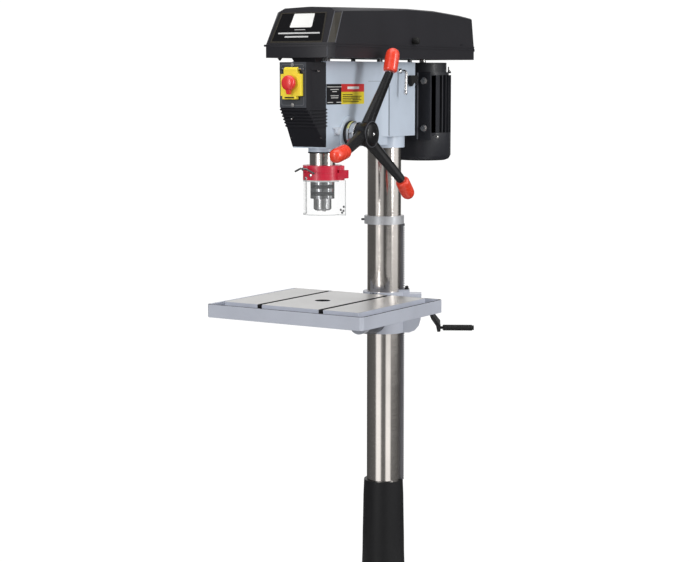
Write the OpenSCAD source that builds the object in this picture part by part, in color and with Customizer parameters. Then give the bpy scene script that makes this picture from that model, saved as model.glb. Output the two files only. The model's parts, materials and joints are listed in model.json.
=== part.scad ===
// Floor standing pillar drill with a swivelling table, a stepped pulley drive and a three lever feed.
// Millimetres. +Z is up, the front faces -Y and the levers are on the +X side.
// The origin is on the floor at the centre of the four anchor holes.

/* [Foot and pillar] */
// Width of the foot
base_width = 430; // [410:5:460]
// Depth of the foot
base_depth = 580; // [570:5:620]
// Height of the foot to its machined pad
base_height = 60; // [56:1:70]
// Diameter of the column
column_d = 92; // [91:0.5:93]
// Height of the upper end of the column
column_top = 1480; // [1470:1:1488]
// Wall thickness of the column tube
column_wall = 8; // [6:0.5:12]
// Height of the upper edge of the column support
support_top = 426; // [410:1:440]
// Height of the lower face of the rack ring
rack_top = 1132; // [1120:1:1160]

/* [Table] */
// Width of the table
table_width = 468; // [440:4:480]
// Depth of the table
table_depth = 402; // [390:2:406]
// Height of the table pad above the floor at rest
table_top = 955; // [945:1:960]
// Radius of the hole in the middle of the table
table_hole_r = 20; // [15:1:25]
// Distance of each slot from the middle of the table
slot_x = 92; // [85:1:100]
// Width of the slot mouth
slot_mouth = 13; // [12:0.5:15]
// Length of the crank arm
crank_arm = 103; // [95:1:108]

/* [Head] */
// Distance from the column axis to the spindle axis
reach = 308; // [306:1:309]
// Width of the head casting at the front
head_width = 100; // [98:1:104]
// Height of the upper face of the head casting
head_top = 1565; // [1560:1:1566]
// Diameter of the quill
quill_d = 66; // [65:0.5:67]
// Height of the feed shaft axis
feed_z = 1381.5; // [1380:0.5:1383]
// Distance from the feed shaft axis to the lever tips
lever_reach = 226; // [210:1:232]
// Lever turn from straight up towards the rear
lever_turn = 17.4; // [0:0.1:40]
// Radius of the chuck sleeve
chuck_r = 31.2; // [29:0.2:32]

/* [Drive] */
// Width of the belt cover
cover_width = 206; // [200:2:212]
// Distance from the column axis to the motor axis
motor_back = 207; // [206:1:210]
// Radius over the motor fins
motor_r = 79.5; // [77:0.5:81]
// Number of cooling fins
fin_count = 32; // [24:1:40]
// Height of one belt groove
step_pitch = 15; // [14.5:0.1:15]

/* [Fits] */
// Radial clearance of turning and sliding fits
run_fit = 0.05; // [0.03:0.01:0.08]
// Radial clearance of seats that stay put
seat_fit = 0.02; // [0.01:0.01:0.03]
// Free gap between moving faces
free_gap = 0.3; // [0.3:0.05:0.5]

/* [Hidden] */
$fn = 64;
eps = 0.5;
column_y = 160;
column_r = column_d / 2;
spindle_y = column_y - reach;
idler_y = column_y - 50;
motor_y = column_y + motor_back;

// Gear module shared by both racks, and the tooth pitch it gives
gear_m = 2;
tooth_pitch = PI * gear_m;

// Foot
anchor_x = 180;
anchor_y = 250;
anchor_hole_r = 7;
base_chamfer = 30;
base_slot_x = 80;
pocket_top = 30;
support_flange_r = 95;
support_flange_t = 20;
flange_bolt_ring = 77.5;
flange_bolt_r = 6;
support_waist = [57.9, 219];
support_screw_z = 400;
support_screw_r = 4;
support_screw_turns = [80, 160];

// Rack and ring
rack_turn = 30;
rack_half = 8;
rack_tip = 56;
rack_pitch_line = rack_tip - gear_m;
ring_r = 54;
ring_height = 22;
ring_screw_turn = 211;
ring_screw_r = 3;
ring_screw_out = 8;

// Lift drive, measured outward from the column axis
gear_teeth = 12;
gear_r = gear_m * gear_teeth / 2;
gear_out = rack_pitch_line + gear_r;
gear_z = table_top - 65;
gear_half = 5;
gear_pin_r = 5;
worm_r = 10;
worm_z = gear_z + gear_r + worm_r;
worm_start = 58;
worm_len = 14;
worm_shaft_r = 8;
housing_half = 22;
housing_out = 102;
crank_hub_out = 119;
crank_hub_t = 14;
crank_hub_r = 13;
crank_arm_half = 9;
crank_out = 148;
crank_arm_t = 8;
grip_r = 8.2;
grip_len = 82;
grip_start = crank_out + crank_arm_t + 6;
crank_swing = 43;
grip_t = crank_arm * sin(crank_swing);
grip_z = worm_z - crank_arm * cos(crank_swing);

// Table bracket
collar_r = 57;
collar_bottom = table_top - 119;
collar_height = 112;
tilt_z = table_top - 83;
arm_r = 34;
arm_cone = 32;
flange_r = 28;
flange_front = 112;
boss_t = 23;
tilt_bolt_r = 9;
clamp_z = table_top - 63;
clamp_shaft_r = 6;
clamp_boss_out = 78;
clamp_turn = 80;

// Table
rim_top = table_top - 5;
rim_bottom = table_top - 38.6;
rim_t = 6;
deck_top = table_top - 21;
deck_t = 6;
pad_inset = 32;
pad_front_inset = 38;
table_back = 92;
slot_deep = 19;
slot_head = 23.5;
slot_head_h = 8;
table_rib_t = 6;
table_mid_y = column_y - table_back - table_depth / 2;

// Head casting
head_half = head_width / 2;
head_front = 368;
head_bottom = 1348;
rear_half = 56;
rear_front = 69;
rear_back = 67;
rear_bottom = 1369;
head_collar_r = 54.6;
head_collar_bottom = 1338;
neck_r = 36;
neck_bottom = 1337;
pocket_half = 38;
pocket_front = 240;
pocket_back = 118;
pocket_bottom = 1365;
boss_r = 38;
boss_out = head_half + 1.7;
clamp_screw_heights = [1395, 1445];
clamp_screw_y = 20;

// Quill and spindle
quill_r = quill_d / 2;
quill_bottom = 1268;
quill_top = 1520;
quill_bore = 19;
bearing_r = 26;
bearing_t = 15;
spindle_r = 12;
spline_root = 9;
spline_tip = 10.8;
spline_half = 2;
spindle_top = 1660;
spindle_foot = 1234;
nose_r = 9;
quill_rack_low = 1366;
quill_rack_high = 1480;
pinion_teeth = 14;
pinion_r = gear_m * pinion_teeth / 2;
quill_pitch_line = quill_r - gear_m;
feed_y = spindle_y + quill_pitch_line + pinion_r;
pinion_half = 12;
feed_shaft_r = 17;
feed_tail_r = 11;
feed_tail_x = -64;
shaft_step_x = 19;

// Chuck
sleeve_top = 1262;
sleeve_bottom = 1218;
chuck_nose_r = 23;
chuck_bottom = 1188;
chuck_core_r = 21.5;
jaw_r = 4.5;
jaw_tilt = 12;
jaw_ring = 9;
jaw_len = 36;
jaw_foot = 1186;

// Guard
guard_r = 50;
guard_top = 1303;
guard_ring_bottom = 1285;
guard_low = 1266;
guard_pin_x = 58;
guard_pin_r = 3;
guard_knuckle_r = 7.5;
guard_ext = 74;
shield_bottom = 1177;
shield_t = 2;
guard_pin_top = 1292;
guard_lug_r = 7;
guard_screw_z = 1294;
guard_screw_r = 4;
guard_screw_turn = -22;
guard_bar_half = 34;
guard_bar_r = 2.4;
guard_bar_tilt = 8;

// Feed hub
ring_in = 52;
ring_out = 64;
depth_ring_r = 33.6;
hub_out = 121;
hub_r = 27;
hub_cap_r = 30;
lever_tip_x = 143;
lever_root_x = 104;
lever_root = 20;
lever_root_half = 15;
lever_tip_half = 11.5;
lever_arm_end = 163;
lever_rod_r = 7;
grip_from = 165;
lever_grip_r = 18;
depth_lock_y = column_y - 325;
depth_lock_z = 1389;
cup_r = 34;
cup_out = -80;

// Front casing and switch
casing_front = 440;
casing_half = 38.5;
casing_top = 1562;
casing_low = 1351;
band_top = 1449;
band_low = 1400;
band_back = 403;
casing_ribs = 6;
casing_wall = 3;
casing_screw_x = 44;
casing_screw_heights = [1375, 1540];
casing_screw_r = 2.5;
casing_screw_reach = [14, 30];
casing_screw_grip = 12;
plate_screw_heights = [1457, 1555];
plate_screw_r = 2;
switch_plate_t = 3;
plate_low = 1450;
flap_left = -28;
flap_right = 31;
flap_low = 1471;
flap_top = 1541;
flap_face = column_y - 455;
flap_wall = 2.5;
flap_pin_z = 1545.5;
flap_pin_y = column_y - 448.5;
flap_pin_r = 2;
stop_x = 5;
stop_z = 1511;
start_x = -14;
start_z = 1487;
button_r = 7;
mushroom_r = 19;
mushroom_face = column_y - 480;
mushroom_stem_r = 5;
casing_face = column_y - casing_front;
plate_face = casing_face - switch_plate_t;

// Belt cover
tray_bottom = head_top + 8;
tray_floor = 3;
tray_top = 1605;
cover_half = cover_width / 2;
cover_front = 418;
cover_back = 316;
lid_wall = 3;
lid_crown = 3;
hinge_x = -cover_half - 4;
hinge_r = 3.6;
hinge_pin_r = 2;
hinge_spots = [-90, 330];
hinge_len = 40;
knob_y = column_y - 25;
knob_z = 1620;
standoff_spots = [[-40, -350], [40, -350], [-40, -95], [40, -95], [-46, 55], [46, 55]];
standoff_r = 6;

// Pulleys, groove radii from the lowest groove up
first_groove = 1618;
spindle_steps = [62, 52, 42, 32];
idler_steps = [34, 44, 54, 64];
motor_steps = [54, 44, 34, 26];
groove_deep = 9;
groove_mouth = 6.2;
groove_root = 3.2;
pulley_sleeve_r = 20;
sleeve_low = 1533;
drive_bearing_r = 31;
drive_bearing_t = 14;
belt_deep = 7.5;
belt_half = 3.4;
belt_wide = 4.7;
belt_back = 0.8;
motor_belt_step = 1;
spindle_belt_step = 2;
idler_pin_r = 8;
idler_pivot_y = column_y + 20;
idler_pivot_low = 1526;
idler_arm_low = 1590;
idler_arm_t = 10;

// Motor
shaft_r = 9;
shaft_low = 1312;
shaft_top = first_groove + 3.5 * step_pitch + 1;
fin_low = 1373;
fin_top = 1531;
fin_root = motor_r - 8;
bell_r = 66.5;
bell_top = 1565;
fan_low = 1296;
fan_hub_z = 1322;
rotor_r = 44;
rotor_from = 20;
rotor_under = 14;
fan_r = 64;
fan_hub_r = 16;
fan_hub_h = 30;
fan_disc_t = 4;
fan_blades = 8;
fan_blade_t = 3;
fan_blade_h = 24;
stator_bore = 44.5;
plate_front = 110;
plate_t = 6;
motor_plate_half = 79;
motor_foot_w = 26;
motor_plate_low = 1355;
motor_plate_top = 1539;
foot_bolt_x = 60;
foot_bolt_r = 4;
bar_plate_half = 42;
bar_plate_t = 7;
bar_neck_r = 6;
foot_bolt_heights = [1387, 1515];
bar_x = 32;
bar_z = 1510;
bar_r = 9.5;
bar_in = 40;
motor_travel = 25;
lever_y = column_y - 22;
lever_z = 1541;
lever_r = 5;
lever_out = 80;
lever_lean = 4;
lever_drop = 60;
lock_y = column_y + 30;
lock_z = bar_z;
lock_r = 4;

// Shared shapes

// Flat plate with cut corners, centred on x and y
module plate(width, depth, height, cut) {
  w = width / 2;
  d = depth / 2;
  linear_extrude(height)
    polygon([
      [-w + cut, -d], [w - cut, -d], [w, -d + cut], [w, d - cut],
      [w - cut, d], [-w + cut, d], [-w, d - cut], [-w, -d + cut]
    ]);
}

module tube(height, outer, inner) {
  difference() {
    cylinder(h = height, r = outer);
    translate([0, 0, -eps]) cylinder(h = height + 2 * eps, r = inner);
  }
}

// Rod along x from one x to another
module rod_x(from, to, y, z, r) {
  translate([from, y, z]) rotate([0, 90, 0]) cylinder(h = to - from, r = r);
}

// Rod along y from one y to another
module rod_y(from, to, x, z, r) {
  translate([x, from, z]) rotate([-90, 0, 0]) cylinder(h = to - from, r = r);
}

// Box given by its two opposite corners
module box(low, high) {
  translate(low) cube(high - low);
}

// Places children in the frame of the rack: x outward from the column, y along its width
module at_rack() {
  translate([0, column_y, 0]) rotate([0, 0, rack_turn]) children();
}

// Hexagon headed bolt standing on its head side, shank below z = 0
module hex_bolt(r, shank, head_r, head_h) {
  cylinder(h = head_h, r = head_r, $fn = 6);
  translate([0, 0, -shank]) cylinder(h = shank + eps, r = r);
}

// Spur gear outline with slim teeth, first tooth along +x
function gear_tooth(turn, r) = [
  [(r - 2.5) * cos(turn) + 1.8 * sin(turn), (r - 2.5) * sin(turn) - 1.8 * cos(turn)],
  [r * cos(turn) + 1.15 * sin(turn), r * sin(turn) - 1.15 * cos(turn)],
  [(r + 1.8) * cos(turn) + 0.5 * sin(turn), (r + 1.8) * sin(turn) - 0.5 * cos(turn)],
  [(r + 1.8) * cos(turn) - 0.5 * sin(turn), (r + 1.8) * sin(turn) + 0.5 * cos(turn)],
  [r * cos(turn) - 1.15 * sin(turn), r * sin(turn) + 1.15 * cos(turn)],
  [(r - 2.5) * cos(turn) - 1.8 * sin(turn), (r - 2.5) * sin(turn) + 1.8 * cos(turn)]
];

module gear_outline(teeth) {
  r = gear_m * teeth / 2;
  polygon([for (i = [0 : teeth - 1]) each gear_tooth(i * 360 / teeth, r)]);
}

// Points of a toothed edge: x is the depth, y runs up, with a gap centred on y = gap
function rack_edge(tip, low, high, gap) = [
  for (i = [ceil((low - gap) / tooth_pitch) : floor((high - gap) / tooth_pitch)])
    each [
      [tip, gap + i * tooth_pitch - 2.45],
      [tip - 4.5, gap + i * tooth_pitch - 1.05],
      [tip - 4.5, gap + i * tooth_pitch + 1.05],
      [tip, gap + i * tooth_pitch + 2.45]
    ]
];

// Foot and pillar

module base() {
  cell_x = (base_width - 32) / 3;
  cell_y = (base_depth - 40) / 4;
  difference() {
    union() {
      plate(base_width, base_depth, base_height - 10, base_chamfer);
      translate([0, spindle_y, 0]) plate(base_width - 110, 240, base_height, 10);
      translate([0, column_y, 0]) cylinder(h = base_height, r = support_flange_r + 12);
    }
    difference() {
      for (i = [0 : 2])
        for (j = [0 : 3])
          translate([-base_width / 2 + 8 + i * (cell_x + 8), -base_depth / 2 + 8 + j * (cell_y + 8), -eps])
            cube([cell_x, cell_y, pocket_top + eps]);
      translate([0, column_y, -1]) cylinder(h = base_height, r = support_flange_r + 4);
      for (x = [-anchor_x, anchor_x])
        for (y = [-anchor_y, anchor_y])
          translate([x, y, -1]) cylinder(h = base_height, r = 34);
    }
    for (x = [-anchor_x, anchor_x])
      for (y = [-anchor_y, anchor_y])
        translate([x, y, -eps]) cylinder(h = base_height, r = anchor_hole_r);
    for (x = [-base_slot_x, base_slot_x]) {
      box([x - 7, spindle_y - 130, base_height - 18], [x + 7, spindle_y + 130, base_height + eps]);
      box([x - 12, spindle_y - 130, base_height - 20], [x + 12, spindle_y + 130, base_height - 10]);
    }
    at_flange_bolts() translate([0, 0, -24]) cylinder(h = 30, r = flange_bolt_r + seat_fit);
  }
}

// Places children on the flange bolt circle at the height of the foot
module at_flange_bolts() {
  translate([0, column_y, base_height])
    for (turn = [45 : 90 : 315])
      rotate([0, 0, turn]) translate([flange_bolt_ring, 0, 0]) children();
}

module column_support() {
  difference() {
    translate([0, column_y, 0])
      rotate_extrude()
        polygon([
          [column_r + seat_fit, base_height], [support_flange_r, base_height],
          [support_flange_r, base_height + support_flange_t], [67, base_height + support_flange_t],
          [61, 130], support_waist, [57.4, 269], [56.2, 325], [55.3, 381],
          [53.5, support_top], [column_r + seat_fit, support_top]
        ]);
    at_flange_bolts() cylinder(h = support_flange_t + eps, r = flange_bolt_r + seat_fit);
    for (turn = support_screw_turns)
      translate([0, column_y, support_screw_z]) rotate([0, 0, turn])
        rod_x(column_r - 2, support_flange_r, 0, 0, support_screw_r + seat_fit);
  }
}

// Flange bolts, set screws of the support and of the rack ring, and clamp screws of the head
module pillar_screws() {
  at_flange_bolts()
    translate([0, 0, support_flange_t]) hex_bolt(flange_bolt_r, support_flange_t + 18, 10, 8);
  for (turn = support_screw_turns)
    translate([0, column_y, support_screw_z]) rotate([0, 0, turn])
      rod_x(column_r + seat_fit, 58, 0, 0, support_screw_r);
  translate([0, column_y, rack_top + ring_height / 2]) rotate([0, 0, ring_screw_turn])
    rod_x(column_r + seat_fit, ring_r + ring_screw_out, 0, 0, ring_screw_r);
  for (z = clamp_screw_heights) {
    rod_x(-rear_half - 1, -column_r - 1, column_y + clamp_screw_y, z, 5);
    rod_x(-rear_half - 10, -rear_half, column_y + clamp_screw_y, z, 8);
  }
}

module column() {
  translate([0, column_y, base_height])
    tube(column_top - base_height, column_r, column_r - column_wall);
}

module rack_ring() {
  difference() {
    translate([0, column_y, rack_top]) tube(ring_height, ring_r, column_r + seat_fit);
    translate([0, column_y, rack_top + ring_height / 2]) rotate([0, 0, ring_screw_turn])
      rod_x(column_r - 2, ring_r + 4, 0, 0, ring_screw_r + seat_fit);
  }
}

module rack() {
  low = support_top + run_fit;
  high = rack_top - free_gap;
  at_rack()
    difference() {
      rotate([90, 0, 0]) translate([0, 0, -rack_half])
        linear_extrude(2 * rack_half)
          polygon(concat(
            [[column_r - 2, high], [column_r - 2, low], [rack_tip, low]],
            rack_edge(rack_tip, low + 3, high - 3, gear_z),
            [[rack_tip, high]]
          ));
      translate([0, 0, low - eps]) cylinder(h = high - low + 2 * eps, r = column_r + free_gap);
    }
}

// Table and its lift

module table_bracket() {
  difference() {
    union() {
      translate([0, column_y, collar_bottom]) cylinder(h = collar_height, r = collar_r);
      rod_y(column_y - flange_front + arm_cone, column_y - 10, 0, tilt_z, arm_r);
      translate([0, column_y - flange_front, tilt_z]) rotate([-90, 0, 0])
        cylinder(h = arm_cone + eps, r1 = flange_r, r2 = arm_r);
      rod_x(-clamp_boss_out, -40, column_y, clamp_z, 17);
      at_rack() translate([0, -housing_half, 0]) rotate([90, 0, 0]) mirror([0, 0, 1])
        linear_extrude(2 * housing_half)
          polygon([
            [40, collar_bottom], [69, collar_bottom], [84, collar_bottom + 6],
            [95, collar_bottom + 19], [100, collar_bottom + 36], [housing_out, table_top - 13],
            [70, table_top - 13], [70, table_top - 3], [40, table_top - 3]
          ]);
    }
    translate([0, column_y, collar_bottom - 10])
      cylinder(h = collar_height + 30, r = column_r + run_fit);
    rod_y(column_y - flange_front - eps, column_y - 52, 0, tilt_z, tilt_bolt_r + seat_fit);
    rod_x(-clamp_boss_out - eps, -30, column_y, clamp_z, clamp_shaft_r + run_fit);
    at_rack() {
      box([30, -rack_half - free_gap, collar_bottom - eps],
          [rack_tip + free_gap, rack_half + free_gap, table_top]);
      box([40, -gear_half - 1, gear_z - 16], [gear_out + 16, gear_half + 1, gear_z + 16]);
      rod_x(50, worm_start + worm_len + 2, 0, worm_z, worm_r + 2.5);
      rod_x(50, housing_out + eps, 0, worm_z, worm_shaft_r + run_fit);
      translate([gear_out, -housing_half - eps, gear_z]) rotate([-90, 0, 0])
        cylinder(h = 2 * housing_half + 1, r = gear_pin_r + run_fit);
    }
  }
}

module bracket_clamp() {
  rod_x(-clamp_boss_out - 14, -column_r - free_gap, column_y, clamp_z, clamp_shaft_r);
  rod_x(-clamp_boss_out - 14, -clamp_boss_out - 1, column_y, clamp_z, 11);
  translate([-clamp_boss_out - 7, column_y, clamp_z]) rotate([-clamp_turn, 0, 0]) {
    cylinder(h = 86, r = 4.5);
    translate([0, 0, 80]) cylinder(h = 30, r = 9);
  }
}

module tilt_bolt() {
  front = column_y - flange_front - boss_t;
  translate([0, front, tilt_z]) rotate([90, 0, 0]) hex_bolt(tilt_bolt_r, boss_t + 50, 15, 12);
}

module lift_gear() {
  at_rack() translate([gear_out, 0, gear_z]) rotate([90, 0, 0]) {
    translate([0, 0, -gear_half]) linear_extrude(2 * gear_half)
      rotate([0, 0, 180]) gear_outline(gear_teeth);
    translate([0, 0, -housing_half]) cylinder(h = 2 * housing_half, r = gear_pin_r);
  }
}

// Worm with one thread; a gap of the thread stands over the top of the lift gear
module worm_shaft() {
  lead = tooth_pitch;
  first = -360 * (gear_out - lead / 2 - worm_start) / lead;
  at_rack() {
    rod_x(worm_start, crank_hub_out + crank_hub_t + 3, 0, worm_z, worm_shaft_r);
    translate([worm_start, 0, worm_z]) rotate([0, 90, 0]) rotate([0, 0, first])
      linear_extrude(worm_len, twist = -360 * worm_len / lead, slices = 28)
        polygon([
          [5, -5], [worm_r * cos(40), -worm_r * sin(40)],
          [(worm_r + 1.8) * cos(18), -(worm_r + 1.8) * sin(18)], [worm_r + 1.8, 0],
          [(worm_r + 1.8) * cos(18), (worm_r + 1.8) * sin(18)],
          [worm_r * cos(40), worm_r * sin(40)], [5, 5]
        ]);
  }
}

// Crank arm seen from its thin side: it leaves the hub, bends outward and ends at the grip pin
module crank_arm_form() {
  near = crank_hub_out + 2;
  far = crank_out - 1;
  rotate([90, 0, 0]) translate([0, 0, -crank_arm_half]) linear_extrude(2 * crank_arm_half)
    polygon([
      [near, 8], [near, -22], [near + 9, -56], [far - 4, -84], [far, -crank_arm - 8],
      [far + crank_arm_t, -crank_arm - 8], [far + crank_arm_t, -82], [near + 18, -52],
      [near + 9, -20], [near + 9, 8]
    ]);
}

module crank_lever() {
  at_rack() difference() {
    union() {
      rod_x(crank_hub_out, crank_hub_out + crank_hub_t, 0, worm_z, crank_hub_r);
      rod_x(crank_out - 1, crank_out + crank_arm_t, grip_t, grip_z, 10);
      translate([0, 0, worm_z]) rotate([crank_swing, 0, 0]) crank_arm_form();
      rod_x(crank_out + 2, grip_start + grip_len + 4, grip_t, grip_z, 4);
      rod_x(grip_start + grip_len + free_gap, grip_start + grip_len + 4, grip_t, grip_z, 6.5);
    }
    rod_x(crank_hub_out - 5, crank_hub_out + crank_hub_t + eps, 0, worm_z, worm_shaft_r + seat_fit);
  }
}

module crank_grip() {
  at_rack() difference() {
    rod_x(grip_start, grip_start + grip_len, grip_t, grip_z, grip_r);
    rod_x(grip_start - eps, grip_start + grip_len + eps, grip_t, grip_z, 4 + run_fit);
  }
}

module table() {
  difference() {
    union() {
      difference() {
        translate([0, table_mid_y, rim_bottom])
          plate(table_width, table_depth, rim_top - rim_bottom, 8);
        translate([0, table_mid_y, deck_top])
          plate(table_width - 2 * rim_t, table_depth - 2 * rim_t, 40, 6);
        translate([0, table_mid_y, rim_bottom - eps])
          plate(table_width - 2 * rim_t, table_depth - 2 * rim_t, deck_top - deck_t - rim_bottom + eps, 6);
      }
      translate([0, table_mid_y, rim_bottom + 8])
        plate(table_width - 2 * pad_inset, table_depth - 2 * pad_front_inset + 6,
              table_top - rim_bottom - 8, 3);
      for (x = [-flange_r, flange_r - table_rib_t])
        box([x, table_mid_y - 150, rim_bottom + 1], [x + table_rib_t, column_y - 130, deck_top - 1]);
      rod_y(column_y - flange_front - boss_t, column_y - flange_front, 0, tilt_z, flange_r);
      box([-flange_r, column_y - flange_front - boss_t, tilt_z],
          [flange_r, column_y - flange_front, deck_top - 1]);
    }
    for (x = [-slot_x, slot_x]) {
      box([x - slot_mouth / 2, table_mid_y - table_depth / 2 + 20, table_top - slot_deep],
          [x + slot_mouth / 2, table_mid_y + table_depth / 2 - 20, table_top + eps]);
      box([x - slot_head / 2, table_mid_y - table_depth / 2 + 20, table_top - slot_deep],
          [x + slot_head / 2, table_mid_y + table_depth / 2 - 20, table_top - slot_deep + slot_head_h]);
    }
    translate([0, spindle_y, rim_bottom - eps]) cylinder(h = 60, r = table_hole_r);
    rod_y(column_y - flange_front - boss_t - eps, column_y - flange_front + eps, 0, tilt_z,
          tilt_bolt_r + run_fit);
  }
}

// Head

module head_casting() {
  difference() {
    union() {
      box([-head_half, column_y - head_front, head_bottom], [head_half, column_y - rear_front + 1, head_top]);
      box([-rear_half, column_y - rear_front, rear_bottom], [rear_half, column_y + rear_back, head_top]);
      translate([0, column_y, head_collar_bottom])
        cylinder(h = rear_bottom - head_collar_bottom + 1, r = head_collar_r);
      translate([0, spindle_y, neck_bottom]) cylinder(h = head_bottom - neck_bottom + 1, r = neck_r);
      rod_x(head_half - 1, boss_out, feed_y, feed_z, boss_r);
    }
    translate([0, spindle_y, neck_bottom - eps])
      cylinder(h = quill_top + 6 - neck_bottom, r = quill_r + run_fit);
    translate([0, spindle_y, quill_top])
      cylinder(h = head_top - quill_top + eps, r = drive_bearing_r + seat_fit);
    translate([0, column_y, head_collar_bottom - eps])
      cylinder(h = column_top - head_collar_bottom + 1, r = column_r + seat_fit);
    box([-pocket_half, column_y - pocket_front, pocket_bottom],
        [pocket_half, column_y - pocket_back, head_top + eps]);
    rod_x(-pinion_half - 1, boss_out + eps, feed_y, feed_z, feed_shaft_r + run_fit);
    rod_x(-head_half - eps, 0, feed_y, feed_z, feed_tail_r + run_fit);
    for (x = [-bar_x, bar_x])
      rod_y(column_y - bar_in - motor_travel - 1, column_y + rear_back + eps, x, bar_z, bar_r + run_fit);
    rod_x(20, rear_half + eps, lever_y, lever_z, lever_r + run_fit);
    rod_x(bar_x + bar_r - 2, rear_half + eps, lock_y, lock_z, lock_r + run_fit);
    translate([0, idler_pivot_y, idler_pivot_low]) cylinder(h = 60, r = idler_pin_r + run_fit);
    for (z = clamp_screw_heights)
      rod_x(-rear_half - eps, -column_r, column_y + clamp_screw_y, z, 5 + seat_fit);
    rod_x(30, head_half + eps, depth_lock_y, depth_lock_z, 3 + run_fit);
    for (x = [-casing_screw_x, casing_screw_x])
      for (z = casing_screw_heights)
        rod_y(column_y - head_front - eps, column_y - head_front + 14, x, z, casing_screw_r + seat_fit);
  }
}

// Side outline of the front casing, moved inwards by a wall thickness
module casing_side(wall) {
  polygon([
    [column_y - head_front + 1, casing_low + wall], [column_y - 370 - wall * 0.3, casing_low + wall],
    [column_y - band_back + wall, band_low + wall * 0.4], [casing_face + wall, band_top + wall * 0.4],
    [casing_face + wall, casing_top - wall], [column_y - head_front + 1, casing_top - wall]
  ]);
}

module casing_form(wall) {
  intersection() {
    translate([0, 0, casing_low - 10]) linear_extrude(casing_top - casing_low + 20)
      polygon([
        [-casing_half + wall, casing_face - 1], [casing_half - wall, casing_face - 1],
        [head_half - wall, column_y - head_front], [-head_half + wall, column_y - head_front]
      ]);
    rotate([90, 0, 90]) translate([0, 0, -head_half - 5]) linear_extrude(head_width + 10)
      casing_side(wall);
  }
}

module front_casing() {
  difference() {
    union() {
      casing_form(0);
      for (i = [0 : casing_ribs - 1]) {
        part = (i + 0.5) / casing_ribs;
        half = 45 - 7.5 * part;
        rib_y = column_y - band_back - (casing_front - band_back) * part;
        translate([-half, rib_y, band_low + (band_top - band_low) * part])
          rotate([-37, 0, 0]) translate([0, -2.4, -2]) cube([2 * half, 5, 4]);
      }
    }
    difference() {
      casing_form(casing_wall);
      for (x = [-casing_screw_x, casing_screw_x])
        for (z = casing_screw_heights)
          rod_y(column_y - head_front - 40, column_y - head_front + 1, x, z, 5);
    }
    box([-head_half, column_y - head_front - 0.001, casing_low - eps],
        [head_half, column_y - head_front + 3, casing_top + eps]);
    box([-30, casing_face - eps, 1468], [34, casing_face + 10, 1544]);
    for (z = plate_screw_heights)
      rod_y(casing_face - eps, casing_face + 6, 0, z, plate_screw_r + seat_fit);
    for (x = [-casing_screw_x, casing_screw_x])
      for (z = casing_screw_heights)
        rod_y(column_y - head_front - 60, column_y - head_front + 1, x, z, casing_screw_r + seat_fit);
  }
}

// Screws of the front casing and of the switch plate, and the pin of the switch flap
module casing_screws() {
  for (x = [-casing_screw_x, casing_screw_x])
    for (i = [0 : len(casing_screw_heights) - 1])
      rod_y(column_y - head_front - casing_screw_reach[i], column_y - head_front + casing_screw_grip,
            x, casing_screw_heights[i], casing_screw_r);
  for (z = plate_screw_heights)
    translate([0, plate_face, z]) rotate([90, 0, 0]) {
      translate([0, 0, -5]) cylinder(h = 6, r = plate_screw_r);
      cylinder(h = 2, r = 4.5);
    }
  rod_x(flap_left - 4.3, flap_right + 4.3, flap_pin_y, flap_pin_z, flap_pin_r);
}

// Switch body with its front plate and the lugs of the flap
module switch_box() {
  difference() {
    union() {
      box([-28, casing_face - 1, 1470], [32, casing_face + 45, 1542]);
      box([-casing_half, plate_face, plate_low], [casing_half, casing_face, casing_top]);
      for (x = [flap_left - 4.3, flap_right + 0.3])
        box([x, flap_pin_y - 4, flap_pin_z - 4], [x + 4, plate_face + 1, flap_pin_z + 4]);
    }
    for (spot = [[start_x, start_z], [stop_x, stop_z]]) {
      rod_y(plate_face - 1, casing_face + 1, spot[0], spot[1], button_r + run_fit);
      rod_y(casing_face, casing_face + 20, spot[0], spot[1], button_r + 1.5);
    }
    rod_x(flap_left - 5, flap_right + 5, flap_pin_y, flap_pin_z, flap_pin_r + seat_fit);
    for (z = plate_screw_heights)
      rod_y(plate_face - 1, casing_face + 1, 0, z, plate_screw_r + seat_fit);
  }
}

module switch_flap() {
  difference() {
    union() {
      box([flap_left, flap_face, flap_low], [flap_right, plate_face - free_gap, flap_top]);
      rod_x(flap_left, flap_right, flap_pin_y, flap_pin_z, 4);
      box([flap_left, flap_face, flap_top - 1], [flap_right, flap_face + 4, flap_pin_z]);
    }
    box([flap_left + flap_wall, flap_face + flap_wall, flap_low + flap_wall],
        [flap_right - flap_wall, plate_face + 1, flap_top - flap_wall]);
    rod_x(flap_left - 1, flap_right + 1, flap_pin_y, flap_pin_z, flap_pin_r + run_fit);
    rod_y(flap_face - 1, flap_face + flap_wall + 1, stop_x, stop_z, mushroom_stem_r + run_fit);
  }
}

module stop_mushroom() {
  translate([stop_x, flap_face + 6, stop_z]) rotate([90, 0, 0])
    rotate_extrude()
      polygon([
        [0, 0], [mushroom_stem_r + 2, 0], [mushroom_stem_r + 2, 3.5 - free_gap],
        [mushroom_stem_r, 3.5 - free_gap], [mushroom_stem_r, 14], [mushroom_r - 1.5, 14],
        [mushroom_r, 16], [mushroom_r, 22], [mushroom_r - 3, 27], [mushroom_r - 8, 30], [0, 31]
      ]);
}

// Push button with a wider back that keeps it in the box
module push_button(x, z, proud) {
  rod_y(plate_face - proud, casing_face + 6, x, z, button_r);
  rod_y(casing_face + free_gap, casing_face + 6, x, z, button_r + 1.2);
}

module start_button() {
  push_button(start_x, start_z, 3.5);
}

module stop_button() {
  push_button(stop_x, stop_z, 2);
}

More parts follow.
